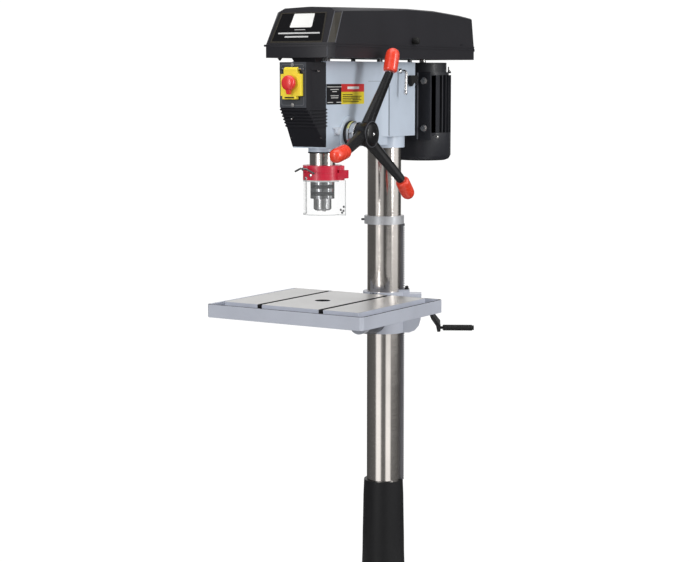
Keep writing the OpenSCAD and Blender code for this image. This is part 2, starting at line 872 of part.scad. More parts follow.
module quill() {
  translate([0, spindle_y, 0]) difference() {
    translate([0, 0, quill_bottom]) cylinder(h = quill_top - quill_bottom, r = quill_r);
    translate([0, 0, quill_bottom - eps]) cylinder(h = quill_top - quill_bottom + 1, r = quill_bore);
    for (z = [quill_bottom - eps, quill_top - bearing_t])
      translate([0, 0, z]) cylinder(h = bearing_t + eps, r = bearing_r + seat_fit);
    rotate([90, 0, 90]) translate([0, 0, -pinion_half - 1]) linear_extrude(2 * pinion_half + 2)
      polygon(concat(
        [[quill_r + 2, quill_rack_low]],
        rack_edge(quill_r, quill_rack_low + 3, quill_rack_high - 3, feed_z),
        [[quill_r + 2, quill_rack_high]]
      ));
  }
}

module spindle_bearings() {
  translate([0, spindle_y, 0])
    for (z = [quill_bottom, quill_top - bearing_t])
      translate([0, 0, z]) tube(bearing_t, bearing_r, spindle_r + seat_fit);
}

module spline_outline(grow) {
  circle(r = spline_root + grow);
  for (turn = [0 : 60 : 300])
    rotate([0, 0, turn]) translate([0, -spline_half - grow])
      square([spline_tip + grow, 2 * (spline_half + grow)]);
}

module spindle() {
  translate([0, spindle_y, 0]) {
    translate([0, 0, spindle_foot]) cylinder(h = quill_bottom - spindle_foot, r = nose_r);
    translate([0, 0, quill_bottom - 3]) cylinder(h = quill_top - quill_bottom + 3, r = spindle_r);
    translate([0, 0, quill_top - 1]) linear_extrude(spindle_top - quill_top + 1) spline_outline(0);
  }
}

// Places children on the axis of one jaw, z pointing up along it
module on_jaw(turn) {
  translate([0, spindle_y, jaw_foot]) rotate([0, 0, turn]) translate([jaw_ring, 0, 0])
    rotate([0, jaw_tilt, 0]) children();
}

module chuck_body() {
  difference() {
    translate([0, spindle_y, 0]) rotate_extrude()
      polygon([
        [0, chuck_bottom], [19, chuck_bottom], [chuck_nose_r, chuck_bottom + 4],
        [chuck_nose_r, sleeve_bottom - free_gap], [chuck_core_r, sleeve_bottom - free_gap],
        [chuck_core_r, sleeve_top - 4], [17, sleeve_top - 2], [17, quill_bottom - 5], [0, quill_bottom - 5]
      ]);
    translate([0, spindle_y, spindle_foot]) cylinder(h = 60, r = nose_r + seat_fit);
    translate([0, spindle_y, chuck_bottom - eps]) cylinder(h = 40, r = 5.5);
    for (turn = [90, 210, 330])
      on_jaw(turn) translate([0, 0, -6]) cylinder(h = jaw_len + 9, r = jaw_r + run_fit);
  }
}

module chuck_sleeve() {
  translate([0, spindle_y, 0]) difference() {
    rotate_extrude()
      polygon([
        [chuck_core_r + run_fit, sleeve_bottom], [chuck_r - 1, sleeve_bottom], [chuck_r, sleeve_bottom + 1],
        [chuck_r, sleeve_bottom + 12], [chuck_r - 1.5, sleeve_bottom + 13],
        [chuck_r - 1.5, sleeve_bottom + 15], [chuck_r, sleeve_bottom + 16],
        [chuck_r, sleeve_bottom + 27], [chuck_r - 1.5, sleeve_bottom + 28],
        [chuck_r - 1.5, sleeve_bottom + 30], [chuck_r, sleeve_bottom + 31], [chuck_r, sleeve_top - 1],
        [chuck_r - 1, sleeve_top], [chuck_core_r + run_fit, sleeve_top]
      ]);
    for (turn = [0 : 30 : 330])
      rotate([0, 0, turn]) translate([chuck_r + 1.6, 0, sleeve_bottom + 3])
        cylinder(h = sleeve_top - sleeve_bottom - 6, r = 3, $fn = 24);
  }
}

module jaw(turn) {
  on_jaw(turn) cylinder(h = jaw_len, r = jaw_r);
}

module jaw_a() {
  jaw(90);
}

module jaw_b() {
  jaw(210);
}

module jaw_c() {
  jaw(330);
}

// Places children in the frame of the guard screw, whose axis runs along y
module at_guard_screw() {
  translate([0, spindle_y, guard_screw_z]) rotate([0, 0, guard_screw_turn]) children();
}

module guard_ring() {
  difference() {
    union() {
      translate([0, spindle_y, guard_ring_bottom])
        cylinder(h = guard_top - guard_ring_bottom, r = guard_r);
      translate([40, spindle_y - guard_lug_r, guard_pin_top + free_gap])
        cube([guard_pin_x - 40, 2 * guard_lug_r, guard_top - guard_pin_top - free_gap]);
      translate([guard_pin_x, spindle_y, guard_pin_top + free_gap])
        cylinder(h = guard_top - guard_pin_top - free_gap, r = guard_lug_r);
      at_guard_screw() rod_y(-guard_r - 3, -40, 0, 0, guard_lug_r);
    }
    translate([0, spindle_y, guard_ring_bottom - eps]) cylinder(h = 40, r = quill_r + seat_fit);
    translate([guard_pin_x, spindle_y, guard_ring_bottom - eps])
      cylinder(h = 40, r = guard_pin_r + seat_fit);
    at_guard_screw() rod_y(-guard_r - 6, -30, 0, 0, guard_screw_r + run_fit);
  }
}

module guard_screw() {
  at_guard_screw() {
    rod_y(-guard_r - 12, -quill_r - 0.8, 0, 0, guard_screw_r);
    translate([0, -guard_r - 9, 0]) rotate([0, guard_bar_tilt, 0])
      rod_x(-guard_bar_half, guard_bar_half, 0, 0, guard_bar_r);
  }
}

// Hinged frame below the ring, with the hinge pin fixed in it
module guard_frame() {
  difference() {
    union() {
      difference() {
        translate([0, spindle_y, guard_low])
          cylinder(h = guard_ring_bottom - free_gap - guard_low, r = guard_r);
        translate([0, spindle_y, guard_low - eps]) cylinder(h = 40, r = 40);
        box([-80, spindle_y + 6, 1200], [80, spindle_y + 80, 1340]);
      }
      box([46, spindle_y - guard_knuckle_r, guard_low],
          [guard_pin_x, spindle_y + 6, guard_ring_bottom - free_gap]);
      translate([guard_pin_x, spindle_y, guard_low])
        cylinder(h = guard_pin_top - guard_low, r = guard_knuckle_r);
      box([guard_pin_x, spindle_y - guard_knuckle_r, guard_low + 5],
          [guard_ext, spindle_y + guard_knuckle_r, guard_pin_top]);
    }
    translate([guard_pin_x, spindle_y, 1240]) cylinder(h = 80, r = guard_pin_r + run_fit);
  }
}

module guard_shield() {
  difference() {
    union() {
      translate([0, spindle_y, shield_bottom])
        tube(guard_low - shield_bottom, guard_r, guard_r - shield_t);
      box([guard_r - 1, spindle_y - shield_t, shield_bottom], [guard_ext - 3, spindle_y, guard_low]);
    }
    box([-80, spindle_y, shield_bottom - 1], [80, spindle_y + 80, guard_low + 1]);
  }
}

// Feed

module feed_shaft() {
  translate([-pinion_half, feed_y, feed_z]) rotate([0, 90, 0]) linear_extrude(2 * pinion_half)
    rotate([0, 0, -90]) gear_outline(pinion_teeth);
  rod_x(feed_tail_x, -pinion_half + 1, feed_y, feed_z, feed_tail_r);
  rod_x(pinion_half - 0.5, shaft_step_x + 1, feed_y, feed_z, feed_tail_r);
  rod_x(shaft_step_x, hub_out - 10, feed_y, feed_z, feed_shaft_r);
}

// Places children in the plane of one lever: z runs outward along the lever
module on_lever(turn) {
  translate([0, feed_y, feed_z]) rotate([-turn, 0, 0]) children();
}

// Lever arm that narrows from the hub to the grip, seen along both of its flat sides
module lever_arm() {
  intersection() {
    rotate([90, 0, 0]) translate([0, 0, -lever_root_half]) linear_extrude(2 * lever_root_half)
      polygon([
        [lever_root_x - 12, lever_root], [lever_root_x + 14, lever_root],
        [lever_tip_x + 8, lever_arm_end], [lever_tip_x - 8, lever_arm_end]
      ]);
    rotate([90, 0, 90]) linear_extrude(lever_tip_x + 20)
      polygon([
        [-lever_root_half, lever_root - 1], [lever_root_half, lever_root - 1],
        [lever_tip_half, lever_arm_end + 1], [-lever_tip_half, lever_arm_end + 1]
      ]);
  }
}

module feed_hub() {
  difference() {
    union() {
      rod_x(ring_out + free_gap, hub_out, feed_y, feed_z, hub_r);
      rod_x(hub_out - 1, hub_out + 5, feed_y, feed_z, hub_cap_r);
      for (i = [0 : 2])
        on_lever(lever_turn + 120 * i)
          lever_arm();
      for (i = [0 : 2])
        on_lever(lever_turn + 120 * i) translate([lever_tip_x, 0, grip_from - 10])
          cylinder(h = lever_reach - grip_from, r = lever_rod_r);
    }
    rod_x(ring_out - 1, hub_out - 10 + seat_fit, feed_y, feed_z, feed_shaft_r + seat_fit);
  }
}

module lever_grips() {
  for (i = [0 : 2])
    on_lever(lever_turn + 120 * i) translate([lever_tip_x, 0, 0]) difference() {
      translate([0, 0, grip_from]) rotate_extrude()
        polygon([
          [0, 0], [lever_grip_r - 3, 0], [lever_grip_r, 3], [lever_grip_r, lever_reach - grip_from - 13],
          [lever_grip_r - 6, lever_reach - grip_from - 3], [0, lever_reach - grip_from]
        ]);
      translate([0, 0, grip_from - 1])
        cylinder(h = lever_reach - grip_from - 9 + seat_fit, r = lever_rod_r + seat_fit);
    }
}

module depth_ring() {
  difference() {
    rod_x(ring_in, ring_out, feed_y, feed_z, depth_ring_r);
    rod_x(ring_in - 1, ring_out + 1, feed_y, feed_z, feed_shaft_r + seat_fit);
  }
}

module depth_lock() {
  rod_x(32, head_half + 12, depth_lock_y, depth_lock_z, 3);
  rod_x(head_half + 1, head_half + 12, depth_lock_y, depth_lock_z, 7);
}

module spring_cup() {
  difference() {
    rod_x(cup_out, -head_half, feed_y, feed_z, cup_r);
    rod_x(cup_out + 4, -head_half - 4, feed_y, feed_z, cup_r - 3);
    rod_x(-head_half - 5, -head_half + 1, feed_y, feed_z, feed_tail_r + run_fit);
  }
}

// Belt cover and drive

module cover_outline(wall) {
  polygon([
    [-85 + wall, column_y - cover_front + wall], [85 - wall, column_y - cover_front + wall],
    [cover_half - wall, column_y - cover_front + 9 + wall],
    [cover_half - wall, column_y + cover_back - wall],
    [-cover_half + wall, column_y + cover_back - wall],
    [-cover_half + wall, column_y - cover_front + 9 + wall]
  ]);
}

module belt_tray() {
  difference() {
    translate([0, 0, tray_bottom]) linear_extrude(tray_top - tray_bottom) cover_outline(0);
    translate([0, 0, tray_bottom + tray_floor]) linear_extrude(60) cover_outline(lid_wall);
    translate([0, spindle_y, tray_bottom - eps]) cylinder(h = 20, r = 36);
    box([-24, motor_y - 52, tray_bottom - eps], [24, motor_y + 30, tray_bottom + 10]);
    translate([0, idler_pivot_y, tray_bottom - eps]) cylinder(h = 20, r = idler_pin_r + 1);
    for (spot = standoff_spots)
      translate([spot[0], column_y + spot[1], tray_bottom - eps]) cylinder(h = 20, r = 3 + seat_fit);
  }
}

module standoffs() {
  for (spot = standoff_spots)
    translate([spot[0], column_y + spot[1], 0]) {
      translate([0, 0, head_top]) cylinder(h = tray_bottom - head_top, r = standoff_r);
      translate([0, 0, tray_bottom - 1]) cylinder(h = tray_floor + 2, r = 3);
      translate([0, 0, tray_bottom + tray_floor]) cylinder(h = 3, r = 6, $fn = 6);
    }
}

// One cross ring of the lid in a leaning plane: y at the foot and at the shoulder, foot half width,
// then half width and height of the shoulder and of the roof edge
function lid_ring(y_foot, y_top, x_foot, xs, zs, xt, zt, wall) =
  let (foot = tray_top - (wall > 0 ? 1 : 0), lean = (y_top - y_foot) / (zs - tray_top))
  [for (p = [
    [-x_foot + wall, foot], [-xs + wall, zs - wall], [-xt + wall, zt - wall], [0, zt + lid_crown - wall],
    [xt - wall, zt - wall], [xs - wall, zs - wall], [x_foot - wall, foot]
  ]) [p[0], y_foot + lean * (p[1] - tray_top), p[1]]];

function lid_rings(wall) = [
  lid_ring(column_y - cover_front + wall, column_y - 380 + wall, 85, 74, 1684, 62, 1696, wall),
  lid_ring(column_y - 409 + wall, column_y - 366 + wall, cover_half, 87, 1684, 70, 1697, wall),
  lid_ring(column_y - 170, column_y - 170, cover_half, 86, 1694, 77, 1701, wall),
  lid_ring(column_y - 40, column_y - 40, cover_half, 86, 1700, 82, 1703, wall),
  lid_ring(column_y + 100, column_y + 100, cover_half, 86, 1699, 82, 1702, wall),
  lid_ring(column_y + 240, column_y + 240, cover_half, 86, 1691, 82, 1694, wall),
  lid_ring(column_y + cover_back - wall, column_y + 306 - wall, cover_half, 86, 1685, 82, 1688, wall)
];

module lid_loft(wall) {
  rings = lid_rings(wall);
  last = len(rings) - 1;
  polyhedron(
    points = [for (ring = rings) each ring],
    faces = concat(
      [for (k = [0 : last - 1]) for (i = [0 : 6])
        each [
          [7 * k + i, 7 * (k + 1) + i, 7 * k + (i + 1) % 7],
          [7 * k + (i + 1) % 7, 7 * (k + 1) + i, 7 * (k + 1) + (i + 1) % 7]
        ]],
      [for (i = [1 : 5]) [0, i, i + 1]],
      [for (i = [1 : 5]) [7 * last, 7 * last + i + 1, 7 * last + i]]
    )
  );
}

module belt_lid() {
  difference() {
    union() {
      difference() {
        lid_loft(0);
        lid_loft(lid_wall);
      }
      for (y = hinge_spots)
        difference() {
          union() {
            rod_y(y, y + hinge_len / 2 - free_gap, hinge_x, tray_top, hinge_r);
            box([hinge_x, y, tray_top + 0.5],
                [-cover_half + 2, y + hinge_len / 2 - free_gap, tray_top + 3.5]);
          }
          rod_y(y - 1, y + hinge_len / 2 + 1, hinge_x, tray_top, hinge_pin_r + run_fit);
        }
    }
    rod_x(80, cover_half + 2, knob_y, knob_z, 3 + seat_fit);
  }
}

module lid_knob() {
  rod_x(92, cover_half + 6, knob_y, knob_z, 3);
  rod_x(cover_half, cover_half + 18, knob_y, knob_z, 9);
}

// Fixed hinge leaves with their pins
module lid_hinges() {
  for (y = hinge_spots) {
    rod_y(y, y + hinge_len, hinge_x, tray_top, hinge_pin_r);
    rod_y(y + hinge_len / 2, y + hinge_len, hinge_x, tray_top, hinge_r);
    box([hinge_x - 2, y + hinge_len / 2, tray_top - 16], [-cover_half, y + hinge_len, tray_top - 1]);
  }
}

// Outline of a stepped pulley with one V groove on each step
function pulley_points(steps) = [
  for (i = [0 : 3])
    let (z = first_groove + i * step_pitch, r = steps[i])
      each [
        [r, z - step_pitch / 2], [r, z - groove_mouth], [r - groove_deep, z - groove_root],
        [r - groove_deep, z + groove_root], [r, z + groove_mouth], [r, z + step_pitch / 2]
      ]
];

module pulley(steps, bore) {
  rotate_extrude()
    polygon(concat(
      [[bore, first_groove - step_pitch / 2]],
      pulley_points(steps),
      [[bore, first_groove + 3.5 * step_pitch]]
    ));
}

module spindle_pulley() {
  translate([0, spindle_y, 0]) difference() {
    union() {
      pulley(spindle_steps, 1);
      translate([0, 0, sleeve_low]) cylinder(h = first_groove - sleeve_low, r = pulley_sleeve_r);
      pulley_core();
    }
    translate([0, 0, sleeve_low - eps]) linear_extrude(200) spline_outline(run_fit * 2);
  }
}

// Core that closes the small hole left in the pulley outline
module pulley_core() {
  translate([0, 0, first_groove - 5]) cylinder(h = 3.5 * step_pitch, r = 12);
}

module pulley_bearings() {
  translate([0, spindle_y, 0])
    for (z = [sleeve_low, head_top - drive_bearing_t])
      translate([0, 0, z]) tube(drive_bearing_t, drive_bearing_r, pulley_sleeve_r + seat_fit);
}

module idler_pulley() {
  translate([0, idler_y, 0]) pulley(idler_steps, idler_pin_r + run_fit);
}

module idler_arm() {
  translate([0, idler_pivot_y, idler_pivot_low + 1])
    cylinder(h = idler_arm_low + idler_arm_t - idler_pivot_low - 1, r = idler_pin_r);
  translate([0, idler_pivot_y, tray_bottom + tray_floor])
    cylinder(h = idler_arm_low - tray_bottom - tray_floor + 1, r = 14);
  translate([0, idler_pivot_y, idler_arm_low]) cylinder(h = idler_arm_t, r = 16);
  box([-11, idler_y, idler_arm_low], [11, idler_pivot_y, idler_arm_low + idler_arm_t]);
  translate([0, idler_y, idler_arm_low]) cylinder(h = idler_arm_t + 10.2, r = 14);
  translate([0, idler_y, idler_arm_low]) cylinder(h = shaft_top + 3 - idler_arm_low, r = idler_pin_r);
}

module motor_pulley() {
  translate([0, motor_y, 0]) pulley(motor_steps, shaft_r + seat_fit);
}

// Closed loop round two circles
module loop_outline(ya, ra, yb, rb) {
  hull() {
    translate([0, ya]) circle(r = ra);
    translate([0, yb]) circle(r = rb);
  }
}

module belt(ya, ra, yb, rb, z) {
  translate([0, 0, z - belt_half]) linear_extrude(2 * belt_half) difference() {
    loop_outline(ya, ra - belt_back, yb, rb - belt_back);
    loop_outline(ya, ra - belt_deep, yb, rb - belt_deep);
  }
  translate([0, 0, z - belt_wide]) linear_extrude(2 * belt_wide) difference() {
    loop_outline(ya, ra - belt_back, yb, rb - belt_back);
    loop_outline(ya, ra - 3.6, yb, rb - 3.6);
  }
}

module drive_belts() {
  belt(motor_y, motor_steps[motor_belt_step], idler_y, idler_steps[motor_belt_step],
       first_groove + motor_belt_step * step_pitch);
  belt(spindle_y, spindle_steps[spindle_belt_step], idler_y, idler_steps[spindle_belt_step],
       first_groove + spindle_belt_step * step_pitch);
}

// Motor

module motor_body() {
  difference() {
    union() {
      translate([0, motor_y, 0]) {
        translate([0, 0, fin_low]) cylinder(h = fin_top - fin_low, r = fin_root);
        for (i = [0 : fin_count - 1])
          rotate([0, 0, (i + 0.5) * 360 / fin_count])
            translate([fin_root - 2, -1.3, fin_low]) cube([motor_r - fin_root + 2, 2.6, fin_top - fin_low]);
        translate([0, 0, fin_top - 1]) cylinder(h = 9, r = 73);
        translate([0, 0, fin_top + 7]) cylinder(h = bell_top - fin_top - 7, r = bell_r);
      }
      for (x = [-motor_plate_half, motor_plate_half - motor_foot_w])
        box([x, column_y + plate_front + plate_t, fin_low + 1], [x + motor_foot_w, motor_y - 44, fin_top]);
    }
    translate([0, motor_y, fin_low + 10]) cylinder(h = fin_top - fin_low - 14, r = stator_bore);
    translate([0, motor_y, fin_low - eps]) cylinder(h = 220, r = shaft_r + run_fit);
    for (x = [-foot_bolt_x, foot_bolt_x])
      for (z = foot_bolt_heights)
        rod_y(column_y + plate_front, column_y + plate_front + 26, x, z, foot_bolt_r + seat_fit);
  }
}

// Rotor with its shaft, and the fan pressed on the lower end of the shaft
module motor_rotor() {
  translate([0, motor_y, shaft_low]) cylinder(h = shaft_top - shaft_low, r = shaft_r);
  translate([0, motor_y, fin_low + rotor_from])
    cylinder(h = fin_top - fin_low - rotor_from - rotor_under, r = rotor_r);
  translate([0, motor_y, fan_hub_z]) {
    tube(fan_hub_h, fan_hub_r, shaft_r + seat_fit);
    tube(fan_disc_t, fan_r, fan_hub_r - 1);
    for (i = [0 : fan_blades - 1])
      rotate([0, 0, i * 360 / fan_blades])
        translate([fan_hub_r - 1, -fan_blade_t / 2, fan_disc_t / 2])
          cube([fan_r - fan_hub_r, fan_blade_t, fan_blade_h]);
  }
}

module fan_cover() {
  translate([0, motor_y, 0]) difference() {
    rotate_extrude()
      polygon([
        [0, fan_low], [64, fan_low], [74, fan_low + 4], [motor_r, fan_low + 14], [motor_r, fin_low],
        [motor_r - 3, fin_low], [motor_r - 3, fan_low + 15], [72, fan_low + 7], [63, fan_low + 3],
        [0, fan_low + 3]
      ]);
    for (ring = [20, 32, 44, 56])
      for (turn = [0 : 45 : 315])
        rotate([0, 0, turn + ring]) translate([ring, 0, fan_low - 1]) cylinder(h = 6, r = 3.6, $fn = 24);
  }
}

module motor_plate() {
  difference() {
    union() {
      box([-motor_plate_half, column_y + plate_front, motor_plate_low],
          [motor_plate_half, column_y + plate_front + plate_t, motor_plate_top]);
      box([-bar_plate_half, column_y + plate_front - bar_plate_t, motor_plate_low],
          [bar_plate_half, column_y + plate_front + 1, motor_plate_top]);
    }
    for (x = [-foot_bolt_x, foot_bolt_x])
      for (z = foot_bolt_heights)
        rod_y(column_y + plate_front - 1, column_y + plate_front + 26, x, z, foot_bolt_r + seat_fit);
    for (x = [-bar_x, bar_x])
      rod_y(column_y + plate_front - bar_plate_t - 1, column_y + plate_front + plate_t + 1, x, bar_z,
            bar_neck_r + seat_fit);
  }
}

module slide_bars() {
  for (x = [-bar_x, bar_x]) {
    rod_y(column_y - bar_in, column_y + plate_front - bar_plate_t, x, bar_z, bar_r);
    rod_y(column_y + plate_front - bar_plate_t - 1, column_y + plate_front + plate_t + 5, x, bar_z,
          bar_neck_r);
    rod_y(column_y + plate_front + plate_t, column_y + plate_front + plate_t + 5, x, bar_z, bar_neck_r + 2);
  }
}

module foot_bolts() {
  for (x = [-foot_bolt_x, foot_bolt_x])
    for (z = foot_bolt_heights)
      translate([x, column_y + plate_front, z]) rotate([90, 0, 0]) {
        hex_bolt(foot_bolt_r, plate_t + 18, 8, 7);
        cylinder(h = 2, r = 9.5);
      }
}

module tension_lever() {
  rod_x(24, lever_out, lever_y, lever_z, lever_r);
  translate([lever_out, lever_y, lever_z]) sphere(r = lever_r);
  translate([lever_out, lever_y, lever_z]) rotate([180 - lever_lean, 0, 0])
    cylinder(h = lever_drop, r = lever_r);
}

module bar_lock() {
  rod_x(bar_x + bar_r + free_gap, rear_half + 13, lock_y, lock_z, lock_r);
  rod_x(rear_half + free_gap, rear_half + 13.5, lock_y, lock_z, 11);
}

module terminal_box() {
  difference() {
    union() {
      box([-112, motor_y - 32, 1400], [-66, motor_y + 32, 1486]);
      translate([-94, motor_y, 1384]) cylinder(h = 18, r = 11);
    }
    translate([0, motor_y, 1390]) cylinder(h = 110, r = motor_r + seat_fit);
    box([-108, motor_y - 28, 1404], [-84, motor_y + 28, 1482]);
    translate([-94, motor_y, 1380]) cylinder(h = 30, r = 5);
  }
}

color("#2b2c2e") base();
color("#232427") column_support();
color("#6a6a6c") pillar_screws();
color("#b9b6b0") column();
color("#c9c8c4") rack_ring();
color("#8d8b88") rack();
color("#8f9aa8") table_bracket();
color("#222222") bracket_clamp();
color("#4a4a4c") tilt_bolt();
color("#8a8a8c") lift_gear();
color("#8a8a8c") worm_shaft();
color("#222325") crank_lever();
color("#1a1a1b") crank_grip();
color("#c3c5c6") table();
color("#9aa5b3") head_casting();
color("#1c1d1f") front_casing();
color("#777777") casing_screws();
color("#202020") switch_box();
color("#e3b32a") switch_flap();
color("#c8261e") stop_mushroom();
color("#2f9a47") start_button();
color("#b02020") stop_button();
color("#a8a6a2") quill();
color("#7d7d80") spindle_bearings();
color("#a2a2a4") spindle();
color("#7b7d80") chuck_body();
color("#4b4d50") chuck_sleeve();
color("#8c8c8e") jaw_a();
color("#8c8c8e") jaw_b();
color("#8c8c8e") jaw_c();
color("#b5202f") guard_ring();
color("#b8b8b8") guard_screw();
color("#b5202f") guard_frame();
color("#dfe6ea") guard_shield();
color("#9a9a9c") feed_shaft();
color("#1c1c1d") feed_hub();
color("#e2401f") lever_grips();
color("#c9c9c9") depth_ring();
color("#aaaaaa") depth_lock();
color("#222222") spring_cup();
color("#1c1d1f") belt_tray();
color("#555555") standoffs();
color("#1c1d1f") belt_lid();
color("#1c1d1f") lid_knob();
color("#777777") lid_hinges();
color("#b7b9bb") spindle_pulley();
color("#7d7d80") pulley_bearings();
color("#b7b9bb") idler_pulley();
color("#555555") idler_arm();
color("#b7b9bb") motor_pulley();
color("#1a1a1a") drive_belts();
color("#1f2022") motor_body();
color("#8d8d90") motor_rotor();
color("#1a1b1d") fan_cover();
color("#2a2b2d") motor_plate();
color("#a6a6a8") slide_bars();
color("#a6a6a8") foot_bolts();
color("#c8c8ca") tension_lever();
color("#1d1d1f") bar_lock();
color("#1a1b1d") terminal_box();
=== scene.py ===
"""Looks of the pillar drill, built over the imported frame. Metres, +Z up, front -Y."""

import json
import math

import bmesh
import bpy
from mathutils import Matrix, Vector
from mathutils.geometry import tessellate_polygon


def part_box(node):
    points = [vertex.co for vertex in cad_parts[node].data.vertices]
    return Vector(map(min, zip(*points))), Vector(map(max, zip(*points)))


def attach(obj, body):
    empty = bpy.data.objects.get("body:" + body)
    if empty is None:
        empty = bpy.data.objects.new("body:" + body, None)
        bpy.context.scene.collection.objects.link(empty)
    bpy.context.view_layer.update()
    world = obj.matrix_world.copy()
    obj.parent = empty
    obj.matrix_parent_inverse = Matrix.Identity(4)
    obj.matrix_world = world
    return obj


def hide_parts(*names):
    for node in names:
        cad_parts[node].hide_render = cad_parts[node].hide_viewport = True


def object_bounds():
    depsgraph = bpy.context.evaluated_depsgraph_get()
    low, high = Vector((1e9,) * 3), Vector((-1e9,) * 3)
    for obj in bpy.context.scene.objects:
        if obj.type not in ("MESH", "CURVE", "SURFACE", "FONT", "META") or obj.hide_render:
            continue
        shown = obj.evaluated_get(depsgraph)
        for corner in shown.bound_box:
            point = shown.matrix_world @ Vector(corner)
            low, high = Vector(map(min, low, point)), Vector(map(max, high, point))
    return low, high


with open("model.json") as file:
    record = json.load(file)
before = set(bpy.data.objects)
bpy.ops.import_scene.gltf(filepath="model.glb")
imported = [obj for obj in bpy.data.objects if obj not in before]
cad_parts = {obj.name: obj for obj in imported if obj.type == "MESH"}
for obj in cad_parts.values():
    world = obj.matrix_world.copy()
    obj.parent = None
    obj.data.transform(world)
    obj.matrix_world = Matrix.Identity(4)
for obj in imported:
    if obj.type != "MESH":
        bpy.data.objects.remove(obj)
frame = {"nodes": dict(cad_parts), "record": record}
BOUNDS_LOW, BOUNDS_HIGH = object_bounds()

MM = 0.001
NODES = frame["nodes"]
BODY_OF = {
    node: body
    for body, members in frame["record"]["behaviour"]["bodies"].items()
    for node in members
}
STAND = "stand"
RIGHT, FRONT, UP = (1, 0, 0), (0, -1, 0), (0, 0, 1)


# Node helpers


def link(tree, source, socket_out, target, socket_in):
    """Join an output socket to an input socket."""
    tree.links.new(source.outputs[socket_out], target.inputs[socket_in])


def set_inputs(node, values):
    """Set default values of a node's inputs by their names."""
    for socket, value in values.items():
        node.inputs[socket].default_value = value


def add_node(tree, kind, values):
    """New node with some of its inputs set."""
    node = tree.nodes.new(kind)
    set_inputs(node, values)
    return node


def map_range(tree, span, to_span=(0, 1)):
    """Node that stretches one range of values to another."""
    return add_node(tree, "ShaderNodeMapRange", {
        "From Min": span[0], "From Max": span[1], "To Min": to_span[0], "To Max": to_span[1],
    })


# Materials

# Part of the noise that is stretched over the whole range, and the scale of its broad clouds
NOISE_SPAN = (0.3, 0.7)
CLOUD_SCALE = 9.0
COAT_ROUGH, LEAST_ROUGH = 0.12, 0.03


def surface(name, color, rough, metal=0.0, grain=300.0, stretch=(1, 1, 1), bump=0.05, depth=0.0002,
            shade=0.12, rough_span=0.08, coat=0.0, cloud_shade=0.06, spec=0.5):
    """Two scales of noise vary the colour, roughness and height of one base finish."""
    mat = bpy.data.materials.new(name)
    mat.use_nodes = True
    tree = mat.node_tree
    bsdf = tree.nodes["Principled BSDF"]
    set_inputs(bsdf, {"Metallic": metal, "Specular IOR Level": spec})
    set_inputs(bsdf, {"Coat Weight": coat, "Coat Roughness": COAT_ROUGH})
    place = tree.nodes.new("ShaderNodeTexCoord")
    scale = add_node(tree, "ShaderNodeMapping", {"Scale": stretch})
    link(tree, place, "Object", scale, "Vector")
    fine = add_node(tree, "ShaderNodeTexNoise", {"Scale": grain, "Detail": 5.0, "Roughness": 0.6})
    link(tree, scale, "Vector", fine, "Vector")
    broad = add_node(tree, "ShaderNodeTexNoise", {"Scale": CLOUD_SCALE, "Detail": 3.0})
    link(tree, place, "Object", broad, "Vector")
    ramp = tree.nodes.new("ShaderNodeValToRGB")
    for stop, position, share in zip(ramp.color_ramp.elements, NOISE_SPAN, (1 - shade, 1 + shade)):
        stop.position = position
        stop.color = [min(1, c * share) for c in color] + [1]
    link(tree, fine, "Fac", ramp, "Fac")
    wide = map_range(tree, NOISE_SPAN, (1 - cloud_shade, 1 + cloud_shade))
    link(tree, broad, "Fac", wide, "Value")
    mix = tree.nodes.new("ShaderNodeVectorMath")
    mix.operation = "SCALE"
    link(tree, ramp, "Color", mix, 0)
    link(tree, wide, "Result", mix, "Scale")
    link(tree, mix, "Vector", bsdf, "Base Color")
    rough_low, rough_high = max(LEAST_ROUGH, rough - rough_span), min(1.0, rough + rough_span)
    gloss = map_range(tree, NOISE_SPAN, (rough_low, rough_high))
    link(tree, fine, "Fac", gloss, "Value")
    link(tree, gloss, "Result", bsdf, "Roughness")
    lift = add_node(tree, "ShaderNodeBump", {"Strength": bump, "Distance": depth})
    link(tree, fine, "Fac", lift, "Height")
    link(tree, lift, "Normal", bsdf, "Normal")
    return mat


def enamel(name, color, rough):
    """Clean light paint with a thin coat over it."""
    return surface(name, color, rough, grain=900, bump=0.06, shade=0.02, coat=0.15)


def printed(name, color, rough=0.4, shade=0.05, spec=0.5):
    """Smooth film of a label, or a fine line."""
    return surface(name, color, rough, grain=600, bump=0.02, shade=shade, spec=spec)


def glassy(name, cover):
    """Thin clear plastic: mostly see through, with a light sheen."""
    mat = surface(name, (0.66, 0.68, 0.68), 0.08, grain=60, bump=0.02, shade=0.02, rough_span=0.02)
    set_inputs(mat.node_tree.nodes["Principled BSDF"], {"Alpha": cover})
    return mat


# Paints
PAINT = enamel("head_enamel", (0.53, 0.60, 0.695), 0.34)
TABLE_PAINT = enamel("table_enamel", (0.43, 0.452, 0.515), 0.36)
SHADED = surface("bracket_shaded", (0.085, 0.09, 0.105), 0.42, grain=700, bump=0.08, shade=0.06)
POINTER = surface("pointer_grey", (0.56, 0.60, 0.66), 0.4, grain=500, bump=0.04, shade=0.04)
FOOT = surface("foot_enamel", (0.011, 0.011, 0.012), 0.42, grain=420, bump=0.25, depth=0.0004,
               shade=0.15, spec=0.2)
MOTOR = surface("motor_enamel", (0.022, 0.023, 0.028), 0.38, grain=500, bump=0.15, spec=0.35)
MOTOR_SIDE = surface("motor_side", (0.030, 0.030, 0.036), 0.4, grain=500, bump=0.15, spec=0.25)

